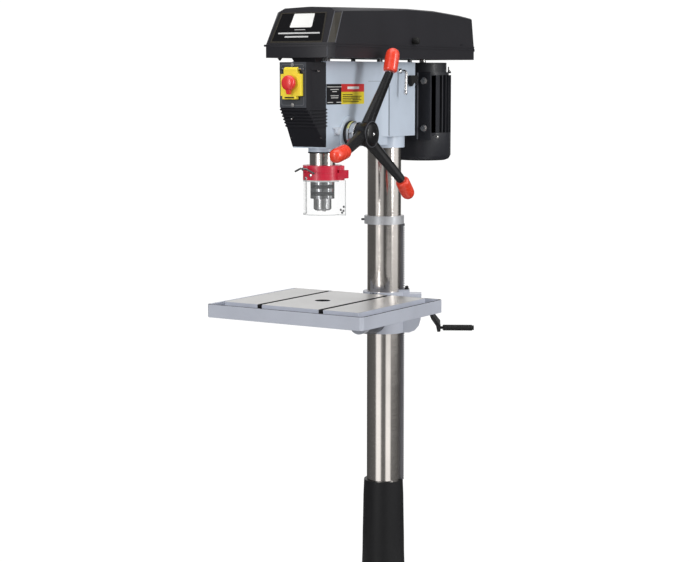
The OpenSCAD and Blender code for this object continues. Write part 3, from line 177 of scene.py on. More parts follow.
# Plastics and rubber
BLACK = surface("cover_black", (0.0195, 0.019, 0.0225), 0.42, grain=700, bump=0.1, shade=0.1,
                spec=0.22)
CASING = surface("casing_black", (0.013, 0.013, 0.0165), 0.38, grain=1400, bump=0.12, shade=0.1,
                 spec=0.2)
HUB = surface("hub_black", (0.0085, 0.0085, 0.0095), 0.27, grain=800, bump=0.12, shade=0.15,
              spec=0.32)
# Lighter grey that paints highlights: on the hub's rim, the lid's corner ridges and the tray's
# corner
SHEEN = surface("edge_sheen", (0.060, 0.062, 0.072), 0.34, grain=600, shade=0.1)
# Dark brown with upright streaks: painted brown sheen on the fascia frame and the lid's right
# corner
BROWN_SHEEN = surface("painted_brown_sheen", (0.021, 0.0175, 0.0115), 0.36, grain=90, stretch=(6, 6, 0.4),
                 bump=0.02, shade=0.3)
GLOSS = surface("fascia_black", (0.005, 0.005, 0.006), 0.14, bump=0.01, shade=0.1, rough_span=0.03,
                spec=0.3)
GREY = surface("plate_grey", (0.050, 0.054, 0.063), 0.42, grain=1200, bump=0.1, shade=0.08,
               spec=0.25)
RUBBER = surface("black_rubber", (0.010, 0.010, 0.010), 0.62, grain=900, bump=0.2, shade=0.15,
                 spec=0.3)
BELT = surface("belt_rubber", (0.02, 0.02, 0.02), 0.7, grain=800, bump=0.3, shade=0.2)
YELLOW = surface("flap_yellow", (0.88, 0.70, 0.045), 0.34, grain=900, shade=0.03, coat=0.1)
RED = surface("stop_red", (0.68, 0.03, 0.03), 0.26, grain=900, bump=0.03, shade=0.03, coat=0.3)
GREEN = surface("start_green", (0.02, 0.35, 0.08), 0.3, grain=900, bump=0.04, shade=0.04)
GUARD = surface("guard_red", (0.56, 0.016, 0.045), 0.32, grain=700, shade=0.05, coat=0.15)
GRIP = surface("grip_red", (0.74, 0.05, 0.022), 0.26, grain=120, depth=0.0006, shade=0.03, coat=0.3)
CLEAR = glassy("guard_clear", 0.07)
CLEAR_EDGE = glassy("guard_edge_clear", 0.55)

# Metals
COLUMN = surface("column_steel", (0.66, 0.62, 0.585), 0.15, metal=1, grain=55,
                 stretch=(0.6, 0.6, 14), bump=0.03, depth=0.0001, shade=0.06, rough_span=0.05)
STEEL = surface("bright_steel", (0.62, 0.61, 0.60), 0.28, metal=1, grain=120, bump=0.02, shade=0.05)
DARK_STEEL = surface("dark_steel", (0.12, 0.12, 0.125), 0.35, metal=1, bump=0.06, shade=0.15)
GROUND = surface("ground_top", (0.50, 0.495, 0.49), 0.36, metal=0.85, grain=60, stretch=(24, 1, 1),
                 bump=0.04, depth=0.0001, shade=0.07, rough_span=0.07)
RACK = surface("rack_steel", (0.50, 0.50, 0.50), 0.36, metal=0.8, grain=220, bump=0.08, shade=0.14)
# Dark grey that paints the shade between the rack's teeth
TOOTH_SHADE = surface("tooth_gap_shade", (0.10, 0.10, 0.11), 0.5, grain=400, bump=0.2, shade=0.2)
RING = surface("ring_steel", (0.50, 0.51, 0.53), 0.35, metal=0.4, grain=220, shade=0.05)
CHUCK = surface("chuck_dark", (0.34, 0.345, 0.36), 0.13, metal=1, grain=260, bump=0.04, shade=0.1,
                rough_span=0.04)
CHUCK_BODY = surface("chuck_bright", (0.46, 0.46, 0.47), 0.2, metal=1, grain=200, stretch=(1, 1, 8),
                     bump=0.03)
KNURL = surface("knurl_dark", (0.035, 0.035, 0.04), 0.34, metal=1, grain=900, bump=0.1, shade=0.2)
ALLOY = surface("pulley_alloy", (0.68, 0.69, 0.70), 0.3, metal=1, grain=120, stretch=(1, 1, 12))
CHROME = surface("chrome", (0.72, 0.72, 0.72), 0.14, metal=1, grain=200, bump=0.01, shade=0.03,
                 rough_span=0.03)
# Light grey that paints highlights along the motor plate's edge and the crest of the head's flare
EDGE_HIGHLIGHT = surface("painted_edge_highlight", (0.20, 0.21, 0.24), 0.35, metal=0.6, shade=0.1)
IRON = surface("raw_iron", (0.022, 0.022, 0.024), 0.7, grain=400, bump=0.3, shade=0.2, spec=0.2)

# Labels and fine lines
SCALE = printed("scale_tint", (0.56, 0.55, 0.20), shade=0.06)
WHITE = printed("label_white", (0.80, 0.80, 0.78), shade=0.03)
INK = printed("label_black", (0.010, 0.010, 0.012), 0.36, shade=0.1, spec=0.25)
SIGN_RED = printed("label_red", (0.62, 0.03, 0.03), 0.36, shade=0.04)
SIGN_YELLOW = printed("label_yellow", (0.78, 0.62, 0.03), 0.36, shade=0.04)
LINE = printed("plate_line", (0.115, 0.12, 0.135))
SEAM = printed("seam_grey", (0.22, 0.26, 0.31), 0.45)
PALE = printed("print_pale", (0.50, 0.50, 0.50))

FINISH = {
    "base": FOOT, "column_support": FOOT, "pillar_screws": DARK_STEEL, "foot_bolts": STEEL,
    "column": COLUMN, "rack_ring": RING, "rack": RACK,
    "table": TABLE_PAINT, "table_bracket": TABLE_PAINT, "bracket_clamp": RUBBER,
    "tilt_bolt": DARK_STEEL, "lift_gear": STEEL, "worm_shaft": STEEL, "crank_lever": HUB,
    "crank_grip": RUBBER,
    "head_casting": PAINT, "front_casing": CASING, "casing_screws": STEEL, "spring_cup": HUB,
    "switch_box": GREY, "switch_flap": YELLOW, "stop_mushroom": RED, "start_button": GREEN,
    "stop_button": RED,
    "quill": COLUMN, "spindle_bearings": STEEL, "spindle": STEEL,
    "chuck_body": CHUCK_BODY, "chuck_sleeve": CHUCK, "jaw_a": STEEL, "jaw_b": STEEL, "jaw_c": STEEL,
    "guard_ring": GUARD, "guard_screw": STEEL, "guard_frame": GUARD, "guard_shield": CLEAR,
    "feed_shaft": STEEL, "feed_hub": HUB, "lever_grips": GRIP, "depth_ring": HUB,
    "depth_lock": POINTER,
    "belt_tray": BLACK, "standoffs": DARK_STEEL, "belt_lid": BLACK, "lid_knob": RUBBER,
    "lid_hinges": DARK_STEEL,
    "spindle_pulley": ALLOY, "pulley_bearings": STEEL, "idler_pulley": ALLOY,
    "idler_arm": DARK_STEEL, "motor_pulley": ALLOY, "drive_belts": BELT,
    "motor_body": MOTOR, "motor_rotor": STEEL, "fan_cover": MOTOR, "motor_plate": MOTOR,
    "terminal_box": MOTOR, "slide_bars": STEEL, "tension_lever": STEEL, "bar_lock": RUBBER,
}


# Mesh helpers

BEVEL_SEGMENTS = 2
# Edges steeper than this stay sharp, in degrees: on CAD copies, modelled pieces and turned ones
CAD_SHARP, SHARP, TURNED = 32.0, 35.0, 50.0
# Copies of CAD meshes: distance for welding points in metres, angle of faces to join in degrees
CAD_WELD = 2e-6
CAD_FLAT = 0.5


def smooth(edit, limit):
    """Smooth faces with sharp edges above the limit angle."""
    for face in edit.faces:
        face.smooth = True
    for edge in edit.edges:
        if len(edge.link_faces) == 2:
            edge.smooth = edge.calc_face_angle() < math.radians(limit)


def add_object(name, mesh, material, body):
    """New object of one material that rides on a body."""
    mesh.materials.clear()
    mesh.materials.append(material)
    obj = bpy.data.objects.new(name, mesh)
    bpy.context.scene.collection.objects.link(obj)
    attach(obj, body)
    return obj


def rounded(obj, width, limit):
    """Round the edges sharper than the limit angle, width in metres."""
    bevel = obj.modifiers.new("edge", "BEVEL")
    bevel.width = width
    bevel.segments = BEVEL_SEGMENTS
    bevel.limit_method = "ANGLE"
    bevel.angle_limit = math.radians(limit)
    bevel.use_clamp_overlap = True
    bevel.harden_normals = True


def soften(node, width):
    """Copy of a CAD node with rounded edges, shown in its place."""
    mesh = NODES[node].data.copy()
    mesh.name = node + "_look"
    edit = bmesh.new()
    edit.from_mesh(mesh)
    bmesh.ops.remove_doubles(edit, verts=edit.verts, dist=CAD_WELD)
    flat = math.radians(CAD_FLAT)
    bmesh.ops.dissolve_limit(edit, angle_limit=flat, verts=edit.verts, edges=edit.edges)
    smooth(edit, CAD_SHARP)
    edit.to_mesh(mesh)
    edit.free()
    obj = add_object(node + "_look", mesh, FINISH[node], BODY_OF[node])
    if width > 0:
        rounded(obj, width, CAD_SHARP)
    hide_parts(node)
    return obj


def piece(name, parts, material, body, bevel=0.0, limit=SHARP, stands_for=()):
    """One mesh object made of several parts in millimetres, riding on a body."""
    points, faces = [], []
    for part_points, part_faces in parts:
        base = len(points)
        points += [tuple(c * MM for c in p) for p in part_points]
        faces += [tuple(base + i for i in f) for f in part_faces]
    mesh = bpy.data.meshes.new(name)
    mesh.from_pydata(points, [], faces)
    edit = bmesh.new()
    edit.from_mesh(mesh)
    bmesh.ops.recalc_face_normals(edit, faces=edit.faces)
    smooth(edit, limit)
    edit.to_mesh(mesh)
    edit.free()
    obj = add_object(name, mesh, material, body)
    if bevel > 0:
        rounded(obj, bevel * MM, limit)
    if stands_for:
        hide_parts(*stands_for)


def repaint(mesh, materials, slot_of):
    """Add materials, and give each face the slot that a function picks; 0 leaves it alone."""
    for material in materials:
        mesh.materials.append(material)
    for polygon in mesh.polygons:
        slot = slot_of(polygon)
        if slot:
            polygon.material_index = slot


# Shapes, in millimetres: each gives points and faces for piece()

# Smallest radius of a turned profile, and smallest share that a mitre is divided by
LEAST_R, LEAST_MITRE = 0.01, 0.3
# A unit vector whose Z is beyond this counts as upright
UPRIGHT = 0.9
RING_STEPS, ROD_STEPS, CIRCLE_STEPS, CORNER_STEPS = 96, 24, 32, 5


def angles(steps):
    """Angles of one full turn."""
    return [2 * math.pi * i / steps for i in range(steps)]


def loft(loops, cap=True):
    """Points and faces that join loops of equal length."""
    count = len(loops[0])
    points = [tuple(p) for loop in loops for p in loop]
    faces = []
    for k in range(len(loops) - 1):
        for i in range(count):
            j = (i + 1) % count
            a, b = k * count, (k + 1) * count
            faces.append((a + i, a + j, b + j, b + i))
    if cap:
        last = (len(loops) - 1) * count
        faces.append(tuple(range(count - 1, -1, -1)))
        faces.append(tuple(last + i for i in range(count)))
    return points, faces


def square_to(direction):
    """Two unit vectors square to a direction."""
    d = Vector(direction).normalized()
    up = Vector(UP) if abs(d.z) < UPRIGHT else Vector(RIGHT)
    u = up.cross(d).normalized()
    return u, d.cross(u).normalized()


def lathe(origin, direction, profile, steps):
    """Solid of revolution; the profile holds distances along the axis with radii."""
    d = Vector(direction).normalized()
    u, v = square_to(direction)
    return loft([
        [
            Vector(origin) + d * along + max(r, LEAST_R) * (u * math.cos(t) + v * math.sin(t))
            for t in angles(steps)
        ]
        for along, r in profile
    ])


def ring_part(origin, direction, low, high, outer, inner):
    """Round band with a bore; its loops go once round the section."""
    d = Vector(direction).normalized()
    u, v = square_to(direction)
    section = [(low, outer), (high, outer), (high, inner), (low, inner)]
    loops = []
    for i in range(RING_STEPS + 1):
        t = 2 * math.pi * i / RING_STEPS
        way = u * math.cos(t) + v * math.sin(t)
        loops.append([Vector(origin) + d * along + r * way for along, r in section])
    return loft(loops, cap=False)


def level(x0, y0, x1, y1, z):
    """Corners of a level rectangle."""
    return [(x0, y0, z), (x1, y0, z), (x1, y1, z), (x0, y1, z)]


def slab(low, high):
    """Upright box between two corners."""
    (x0, y0, z0), (x1, y1, z1) = low, high
    return loft([level(x0, y0, x1, y1, z0), level(x0, y0, x1, y1, z1)])


def rod(start, end, r):
    """Straight round bar between two points."""
    way = Vector(end) - Vector(start)
    return lathe(start, way, [(0, r), (way.length, r)], ROD_STEPS)


def bent_rod(path, r, steps=20):
    """Round bar through a list of points; its section turns with the path without twisting."""
    spots = [Vector(p) for p in path]
    u = square_to(spots[1] - spots[0])[0]
    loops = []
    for i, spot in enumerate(spots):
        way = (spots[min(len(spots) - 1, i + 1)] - spots[max(0, i - 1)]).normalized()
        u = (u - way * u.dot(way)).normalized()
        v = way.cross(u)
        loops.append([spot + r * (u * math.cos(t) + v * math.sin(t)) for t in angles(steps)])
    return loft(loops)


def ribbon(path, thick, low, high):
    """Upright strip on the right hand side of a path in the floor plane."""
    loops = []
    for i, p in enumerate(path):
        here = Vector(p)
        ways = []
        if i > 0:
            ways.append((here - Vector(path[i - 1])).normalized())
        if i < len(path) - 1:
            ways.append((Vector(path[i + 1]) - here).normalized())
        normals = [Vector((w.y, -w.x)) for w in ways]
        mean = sum(normals, Vector((0, 0))).normalized()
        far = here + mean * (thick / max(LEAST_MITRE, mean.dot(normals[0])))
        section = ((here, low), (far, low), (far, high), (here, high))
        loops.append([(spot.x, spot.y, z) for spot, z in section])
    return loft(loops)


def sheet(outer, holes, low, high, place):
    """Plate with holes: outlines in u and v, thick from low to high, put in space by a function."""
    outlines = [outer] + holes
    flat = [p for outline in outlines for p in outline]
    count = len(flat)
    triangles = tessellate_polygon([[Vector((*p, 0)) for p in outline] for outline in outlines])
    points = [tuple(place(u, v, w)) for w in (low, high) for u, v in flat]
    faces = [tuple(t) for t in triangles]
    faces += [tuple(count + k for k in t[::-1]) for t in triangles]
    start = 0
    for outline in outlines:
        n = len(outline)
        for k in range(n):
            a, b = start + k, start + (k + 1) % n
            faces.append((a, b, count + b, count + a))
        start += n
    return points, faces


def circle(u, v, r):
    """Outline of a round hole."""
    return [(u + r * math.cos(t), v + r * math.sin(t)) for t in angles(CIRCLE_STEPS)]


def round_box(u0, v0, u1, v1, r):
    """Rectangle outline with rounded corners."""
    left, right, low, high = u0 + r, u1 - r, v0 + r, v1 - r
    corners = ((right, high, 0), (left, high, 90), (left, low, 180), (right, low, 270))
    points = []
    for cu, cv, start in corners:
        for k in range(CORNER_STEPS + 1):
            t = math.radians(start + 90 * k / CORNER_STEPS)
            points.append((cu + r * math.cos(t), cv + r * math.sin(t)))
    return points


def tabbed(body, low_tab, high_tab, inset=0.0):
    """Rectangle outline with a tab below and one above, or the same outline further in."""
    x0, z0, x1, z1 = body[0] + inset, body[1] + inset, body[2] - inset, body[3] - inset
    a0, a1, low = low_tab[0] + inset, low_tab[1] - inset, low_tab[2] + inset
    b0, b1, high = high_tab[0] + inset, high_tab[1] - inset, high_tab[2] - inset
    right = [(a0, low), (a1, low), (a1, z0), (x1, z0), (x1, z1), (b1, z1)]
    left = [(b1, high), (b0, high), (b0, z1), (x0, z1), (x0, z0), (a0, z0)]
    return right + left


def front_plane(y):
    """Maps u, v, w to x, z and a distance in front of y."""
    return lambda u, v, w: (u, y - w, v)


def side_plane(x):
    """Maps u, v, w to y, z and a distance outside x."""
    return lambda u, v, w: (x + w, u, v)


# Looks of the CAD nodes

for node, material in FINISH.items():
    mesh = NODES[node].data
    mesh.materials.clear()
    mesh.materials.append(material)

# Width of the rounded edges, in millimetres
SOFT_EDGES = {
    "base": 4.0, "column_support": 1.5, "rack_ring": 0.8, "table_bracket": 3.0, "table": 1.2,
    "head_casting": 2.5, "front_casing": 1.0, "switch_box": 0.8, "guard_ring": 0.8,
    "guard_frame": 0.8, "spring_cup": 1.0, "belt_tray": 1.0, "belt_lid": 2.5, "motor_body": 0.6,
    "fan_cover": 0.8, "motor_plate": 0.8, "crank_lever": 1.6, "terminal_box": 1.5,
    "chuck_body": 0.3, "bracket_clamp": 0.8, "pillar_screws": 0.6, "foot_bolts": 0.6,
    "quill": 0.3, "depth_lock": 0.5, "casing_screws": 0.3, "slide_bars": 0.5,
}
LOOKS = {node: soften(node, width * MM) for node, width in SOFT_EDGES.items()}

# The cover's walls stand a little steeper in the photo than a plain taper. The heights, depths and
# offsets are in metres, as the copied mesh is.
LID_FOOT, LID_SHOULDER = 1.605, 1.684
LID_FRONT_EDGE = (1.68, 1.69)
LID_FRONT, LID_REAR = -0.15, 0.35
LID_FLARE, LID_TAIL, LID_RISE = 0.11, 0.010, 0.003
LID_LEAN = 38 / 79
for vertex in LOOKS["belt_lid"].data.vertices:
    spot = vertex.co
    share = min(1.0, max(0.0, (spot.z - LID_FOOT) / (LID_SHOULDER - LID_FOOT)))
    if spot.y < LID_FRONT and LID_FRONT_EDGE[0] < spot.z < LID_FRONT_EDGE[1]:
        spot.z += LID_RISE
        spot.y += LID_RISE * LID_LEAN
    spot.x *= 1 + LID_FLARE * share
    if spot.y > LID_REAR:
        spot.y += LID_TAIL * share

# Front casing: ribs that go round its sloping chin

CASING_FACE = -280.0
CASING_HALF = 38.5
CASING_SLOPE = 11.5 / 72
CASING_REAR_HALF = 50
HEAD_FRONT = -208.0
CHIN_Y, CHIN_Z = -243, 1400
CHIN_DEPTH, CHIN_HEIGHT = 37, 49
RIB_COUNT = 6
RIB_OUT, RIB_AHEAD = 4.6, 2.9
RIB_THICK, RIB_HALF = 4.5, 2.0
RIB_CORNER, RIB_BACK, RIB_GAP = 4, 3, 1


def chin_rib(share):
    """Rib at a share of the chin's height."""
    face = CHIN_Y - CHIN_DEPTH * share - RIB_AHEAD
    half = CASING_HALF + (face + RIB_BACK - CASING_FACE) * CASING_SLOPE + RIB_OUT
    z = CHIN_Z + CHIN_HEIGHT * share
    rear = (CASING_REAR_HALF + RIB_OUT, HEAD_FRONT - RIB_GAP)
    path = [rear, (half, face + RIB_CORNER), (half - RIB_CORNER, face)]
    path += [(-x, y) for x, y in path[::-1]]
    return ribbon(path, RIB_THICK, z - RIB_HALF, z + RIB_HALF)


ribs = [chin_rib((i + 0.5) / RIB_COUNT) for i in range(RIB_COUNT)]
piece("casing_ribs", ribs, CASING, STAND, bevel=0.9)

# Switch: plate, gasket with painted shadow, yellow flap and red mushroom

PLATE_FACE = -283.0
FLAP_FACE = -295.0
FLAP_WALL, FLAP_RIM = 2.5, 11.6
HINGE_X, HINGE_Y, HINGE_Z = -19, -288.5, 1545.5
HINGE_LONG, HINGE_R = 40, 4
MUSHROOM_X, MUSHROOM_Z = 5, 1511
BUTTON_HOLE_R, BUTTON_RING_R, BUTTON_RING_BORE = 5.3, 21.5, 14
# Stickers and lines start a little inside the face that carries them
SUNK = -0.2
LINE_OUT, GASKET_AND_SHADOW_OUT = 0.25, 0.15
# Body, lower tab and upper tab of the flap and of the gasket behind it, larger as a painted shadow
FLAP_SHAPE = (-28, 1479, 31, 1533), (-23, 18, 1471), (-19, 21, 1541)
GASKET_AND_SHADOW_SHAPE = (-31, 1477, 35, 1536), (-24, 22, 1469), (-22, 27, 1546)
FLAP = BODY_OF["switch_flap"]
plate = front_plane(PLATE_FACE)
plate_outline = round_box(-33.5, 1455.5, 33.5, 1556.5, 5)
plate_inner = round_box(-32.3, 1456.7, 32.3, 1555.3, 4)
plate_line = sheet(plate_outline, [plate_inner], SUNK, LINE_OUT, plate)
piece("switch_plate_line", [plate_line], LINE, STAND)
gasket_and_shadow = sheet(tabbed(*GASKET_AND_SHADOW_SHAPE), [], SUNK, GASKET_AND_SHADOW_OUT, plate)
piece("switch_gasket_and_shadow", [gasket_and_shadow], INK, STAND)

flap_outline = tabbed(*FLAP_SHAPE)
flap_inside = tabbed(*FLAP_SHAPE, FLAP_WALL)
button_hole = circle(MUSHROOM_X, MUSHROOM_Z, BUTTON_HOLE_R)
flap_back = front_plane(FLAP_FACE + FLAP_WALL)
rim_back = front_plane(FLAP_FACE + FLAP_RIM + FLAP_WALL)
piece("flap_look", [
    sheet(flap_outline, [button_hole], 0, FLAP_WALL, flap_back),
    sheet(flap_outline, [flap_inside], FLAP_WALL, FLAP_RIM, rim_back),
    slab((HINGE_X, FLAP_FACE, 1540), (HINGE_X + HINGE_LONG, FLAP_FACE + HINGE_R, HINGE_Z)),
    lathe((HINGE_X, HINGE_Y, HINGE_Z), RIGHT, [(0, HINGE_R), (HINGE_LONG, HINGE_R)], steps=32),
], YELLOW, FLAP, bevel=0.7, stands_for=["switch_flap"])
flap_slot = slab((-16, FLAP_FACE - 0.15, 1473), (12, FLAP_FACE + 0.2, 1476.5))
piece("flap_slot", [flap_slot], INK, FLAP)
ring_foot = (MUSHROOM_X, FLAP_FACE + 0.3, MUSHROOM_Z)
button_ring = ring_part(ring_foot, FRONT, 0, 1.6, outer=BUTTON_RING_R, inner=BUTTON_RING_BORE)
piece("flap_button_ring", [button_ring], YELLOW, FLAP, bevel=0.4)

MUSHROOM_PROFILE = [(0, 7), (3.2, 7), (3.2, 5), (14, 5), (14, 16.6), (15, 18), (16.5, 18.8),
                    (19, 19), (22, 18.9), (24.5, 18.1), (26.8, 16.4), (28.6, 13.6), (29.8, 9.8),
                    (30.6, 5.2), (31, 0)]
mushroom_foot = (MUSHROOM_X, FLAP_FACE + 6, MUSHROOM_Z)
mushroom = lathe(mushroom_foot, FRONT, MUSHROOM_PROFILE, steps=72)
mushroom_tail = loft([
    [(-1, y, 1494), (11, y, 1494), (8, y, 1483), (2, y, 1483)]
    for y in (-313.5, -303)
])
piece("mushroom_look", [mushroom, mushroom_tail], RED, BODY_OF["stop_mushroom"], limit=TURNED,
      stands_for=["stop_mushroom"])

# Small parts between the casing and the belt cover, and the screw in the chin

# Both taper, from one level rectangle to another
cover_clip = loft([level(-68, -250, -56, -244, 1573.5), level(-63, -249, -61, -246, 1566)])
piece("cover_clip", [cover_clip], BLACK, STAND)
cover_bracket = loft([level(-26, -236, 38, -209, 1562), level(-33, -240, 38, -209, 1573.2)])
piece("cover_bracket", [cover_bracket], BLACK, STAND, bevel=0.8)
CHIN_OUT = (0, -0.8, -0.6)
chin_screw = lathe((-14, -264, 1424), CHIN_OUT, [(-2, 2.4), (4.6, 2.4), (5.4, 1.6)], steps=20)
piece("chin_screw", [chin_screw], STEEL, STAND)

# Head side: flare, seams, boss, labels and pointer

SIDE = 50.0
INSIDE = SIDE - 0.4
FLARE_START, FLARE_LOW, FLARE_HIGH = 59, 1369, 1563.5
CREST_X, CREST_Y = 56, 91.4
SEAM_Z, SEAM_WIDE, SEAM_OUT = 1514, 1.2, 0.12
FEED_Y, FEED_Z = -103.0, 1381.5
piece("head_flare", [loft([
    [(INSIDE, FLARE_START, z), (CREST_X, CREST_Y, z), (INSIDE, CREST_Y, z)]
    for z in (FLARE_LOW, FLARE_HIGH)
])], PAINT, STAND, bevel=0.6)
seam_end = (SIDE + SEAM_OUT, FLARE_START, SEAM_Z + SEAM_WIDE)
piece("head_seam", [slab((INSIDE, -6, SEAM_Z), seam_end)], SEAM, STAND)
piece("flare_line", [slab((54.6, 88.2, 1372), (56.1, 90.4, SEAM_Z))], SEAM, STAND)
# Light strip on the flare's crest: a painted highlight
piece("flare_crest", [slab((55.4, 90.6, 1370), (56.3, 92.2, 1563))], EDGE_HIGHLIGHT, STAND, bevel=0.3)
boss_profile = [(0, 46), (4.4, 46), (5.6, 44.8), (6.0, 43), (6.0, 36)]
feed_boss = lathe((SIDE - 2, FEED_Y, FEED_Z), RIGHT, boss_profile, steps=96)
piece("feed_boss", [feed_boss], PAINT, STAND, limit=TURNED)

LABEL_LOW, LABEL_SPLIT, LABEL_HIGH = 1457, 1488, 1508
LABEL_CORNER = 1
RATING_Y = (-207, -137.2)
SIGN_Y = (-137, -27)
# How far stickers and print stand out; the yellow sticker lies a little under the red one
STICKER_OUT, PRINT_OUT = 0.22, 0.32
UNDER_STICKER_OUT, UNDER_PRINT_OUT = 0.2, 0.3
PRINT_IN = 0.1
ROW_TALL = 2


def side_label(name, span, low, high, out, material):
    """Sticker on the head's right side, from y to y and from z to z."""
    outline = round_box(span[0], low, span[1], high, LABEL_CORNER)
    piece(name, [sheet(outline, [], SUNK, out, side_plane(SIDE))], material, STAND)


def side_print(name, bars, out, material):
    """Printed bars on a sticker, each from y to y and from z to z."""
    parts = [slab((SIDE + PRINT_IN, a, low), (SIDE + out, b, high)) for a, b, low, high in bars]
    piece(name, parts, material, STAND)


side_label("rating_label", RATING_Y, LABEL_LOW, LABEL_HIGH, STICKER_OUT, INK)
side_print("rating_lines", [
    (-203, -135, 1500.2, 1501.6), (-188, -150, 1493.6, 1495), (-180, -158, 1488.4, 1489.8),
    (-188, -150, 1478, 1479.4), (-186, -152, 1472.8, 1474.2), (-202, -176, 1461.6, 1463),
    (-160, -136, 1461.6, 1463),
], PRINT_OUT, WHITE)
side_label("sign_red", SIGN_Y, LABEL_SPLIT, LABEL_HIGH, STICKER_OUT, SIGN_RED)
side_label("sign_yellow", SIGN_Y, LABEL_LOW, LABEL_SPLIT + 0.2, UNDER_STICKER_OUT, SIGN_YELLOW)
side_print("sign_bars", [(-108, -52, 1495, 1501.4)], PRINT_OUT, WHITE)
side_print("sign_rows", [
    (a, b, z, z + ROW_TALL)
    for a, b, z in ((-131, -84, 1480), (-131, -40, 1475.5), (-131, -47, 1471), (-131, -90, 1466.5),
                    (-84, -40, 1466.5), (-131, -54, 1462))
], UNDER_PRINT_OUT, INK)

SPINDLE_Y = -148
seal = ring_part((0, SPINDLE_Y, 1333.4), UP, 0, 3.8, outer=36.6, inner=33.4)
piece("neck_seal", [seal], RUBBER, STAND, bevel=0.6)
piece("scale_pointer", [
    slab((SIDE - 0.2, -180, 1395.5), (SIDE + 3.5, -138, 1399.5)),
    slab((SIDE - 0.2, -172, 1380), (SIDE + 4.5, SPINDLE_Y, 1396)),
], POINTER, STAND, bevel=0.8)

# Feed hub, levers and grips

AXLE = (0, FEED_Y, FEED_Z)
HUB_BODY = BODY_OF["feed_hub"]
TIP_X = 143
ROD_SPAN, ROD_R = (155, 216), 7
LEVER_ANGLES = [17.4 + 120 * i for i in range(3)]
# Cross section of an arm, in shares of its half thickness along x and of its half width
ARM_SECTION = [(1.0, 0.0), (0.86, 0.5), (0.45, 0.9), (-0.35, 1.0), (-0.85, 0.72), (-1.0, 0.0),
               (-0.85, -0.72), (-0.35, -1.0), (0.45, -0.9), (0.86, -0.5)]
# Along an arm: distance from the axle, x of the middle, half thickness and half width
ARM_STATIONS = [(12, 102, 16, 17.5), (26, 103.5, 15.4, 17.3), (45, 108.5, 13.8, 16.7),
                (75, 117.5, 12.4, 15.8), (110, 128, 11.2, 14.8), (140, 136.6, 10.2, 14.0),
                (156, 141.2, 9.8, 13.6), (161, 142.6, 9.2, 12.8), (163, TIP_X, 8.0, 11.0)]
HUB_PROFILE = [(69.3, 24), (69.3, 27), (84, 28.2), (90, 29.4), (100, 31), (112, 32.6),
               (119.5, 33.2), (121, 32.6), (121, 30.6), (119.6, 29.6), (119.6, 28.2),
               (122.2, 26.4), (124.4, 21), (125.6, 14), (126.2, 7), (126.3, 0)]
GRIP_PROFILE = [(165.6, 7.1), (165, 9), (165, 14.6), (166.4, 16.6), (169, 17.8), (173, 18.1),
                (204, 18.1), (212, 17.6), (218, 15.6), (222.5, 12.2), (225.2, 7.4), (226, 2.4),
                (226.1, 0)]

arms, rods, grips = [], [], []
for angle in LEVER_ANGLES:
    t = math.radians(angle)
    outward = Vector((0, math.sin(t), math.cos(t)))
    across = Vector((0, math.cos(t), -math.sin(t)))
    arms.append(loft([
        [
            Vector((x + half_x * a, FEED_Y, FEED_Z)) + outward * r + across * (half_wide * b)
            for a, b in ARM_SECTION
        ]
        for r, x, half_x, half_wide in ARM_STATIONS
    ]))
    tip = Vector((TIP_X, FEED_Y, FEED_Z))
    rods.append(rod(tip + outward * ROD_SPAN[0], tip + outward * ROD_SPAN[1], ROD_R))
    grips.append(lathe(tip, outward, GRIP_PROFILE, steps=48))
hub_turned = lathe(AXLE, RIGHT, HUB_PROFILE, steps=72)
piece("hub_look", [hub_turned], HUB, HUB_BODY, limit=40, stands_for=["feed_hub"])
piece("lever_arms", arms, HUB, HUB_BODY, bevel=1.2, limit=24)
dome_profile = [(0, 4.6), (0.8, 4.4), (2.4, 1.6), (2.6, 0)]
hub_dome = lathe((126, FEED_Y, FEED_Z), RIGHT, dome_profile, steps=24)
piece("hub_centre", [hub_dome], CHROME, HUB_BODY, limit=TURNED)
# Thin ring round the hub's face in the lighter grey: a painted highlight
hub_rim = ring_part(AXLE, RIGHT, 119.8, 121.5, outer=33.1, inner=31.2)
piece("hub_rim", [hub_rim], SHEEN, HUB_BODY, bevel=0.4)
piece("lever_rods", rods, STEEL, HUB_BODY)
piece("grips_look", grips, GRIP, BODY_OF["lever_grips"], limit=55, stands_for=["lever_grips"])
hub_collar = ring_part(AXLE, RIGHT, 69.4, 83, outer=30.6, inner=26)
piece("hub_collar", [hub_collar], CHROME, HUB_BODY, bevel=0.8)

# Depth ring with its scale

RING_BODY = BODY_OF["depth_ring"]
SCALE_LOW, SCALE_HIGH, SCALE_R = 61.9, 68.4, 32.35
SCALE_THICK = 0.4
SCALE_SPAN = (-62, 34)
MARK_COUNT, MARK_FIRST, MARK_STEP = 16, -58, 6
MARK_LONG, MARK_SHORT, LONG_EVERY = 4, 2.4, 4
MARK_OUT = 0.1


def ring_sector(low, high, r, start, stop, steps=24):
    """Curved sticker on the depth band, angles from straight up towards the rear."""
    inner = r - SCALE_THICK
    section = ((low, inner), (high, inner), (high, r), (low, r))
    loops = []
    for i in range(steps + 1):
        t = math.radians(start + (stop - start) * i / steps)
        outward = Vector((0, math.sin(t), math.cos(t)))
        loops.append([Vector(AXLE) + Vector((x, 0, 0)) + outward * far for x, far in section])
    return loft(loops)


def depth_mark(k):
    """One line of the scale, every few of them longer."""
    start = MARK_FIRST + MARK_STEP * k
    high = SCALE_LOW + (MARK_SHORT if k % LONG_EVERY else MARK_LONG)
    return ring_sector(SCALE_LOW, high, SCALE_R + MARK_OUT, start, start + 1, steps=2)


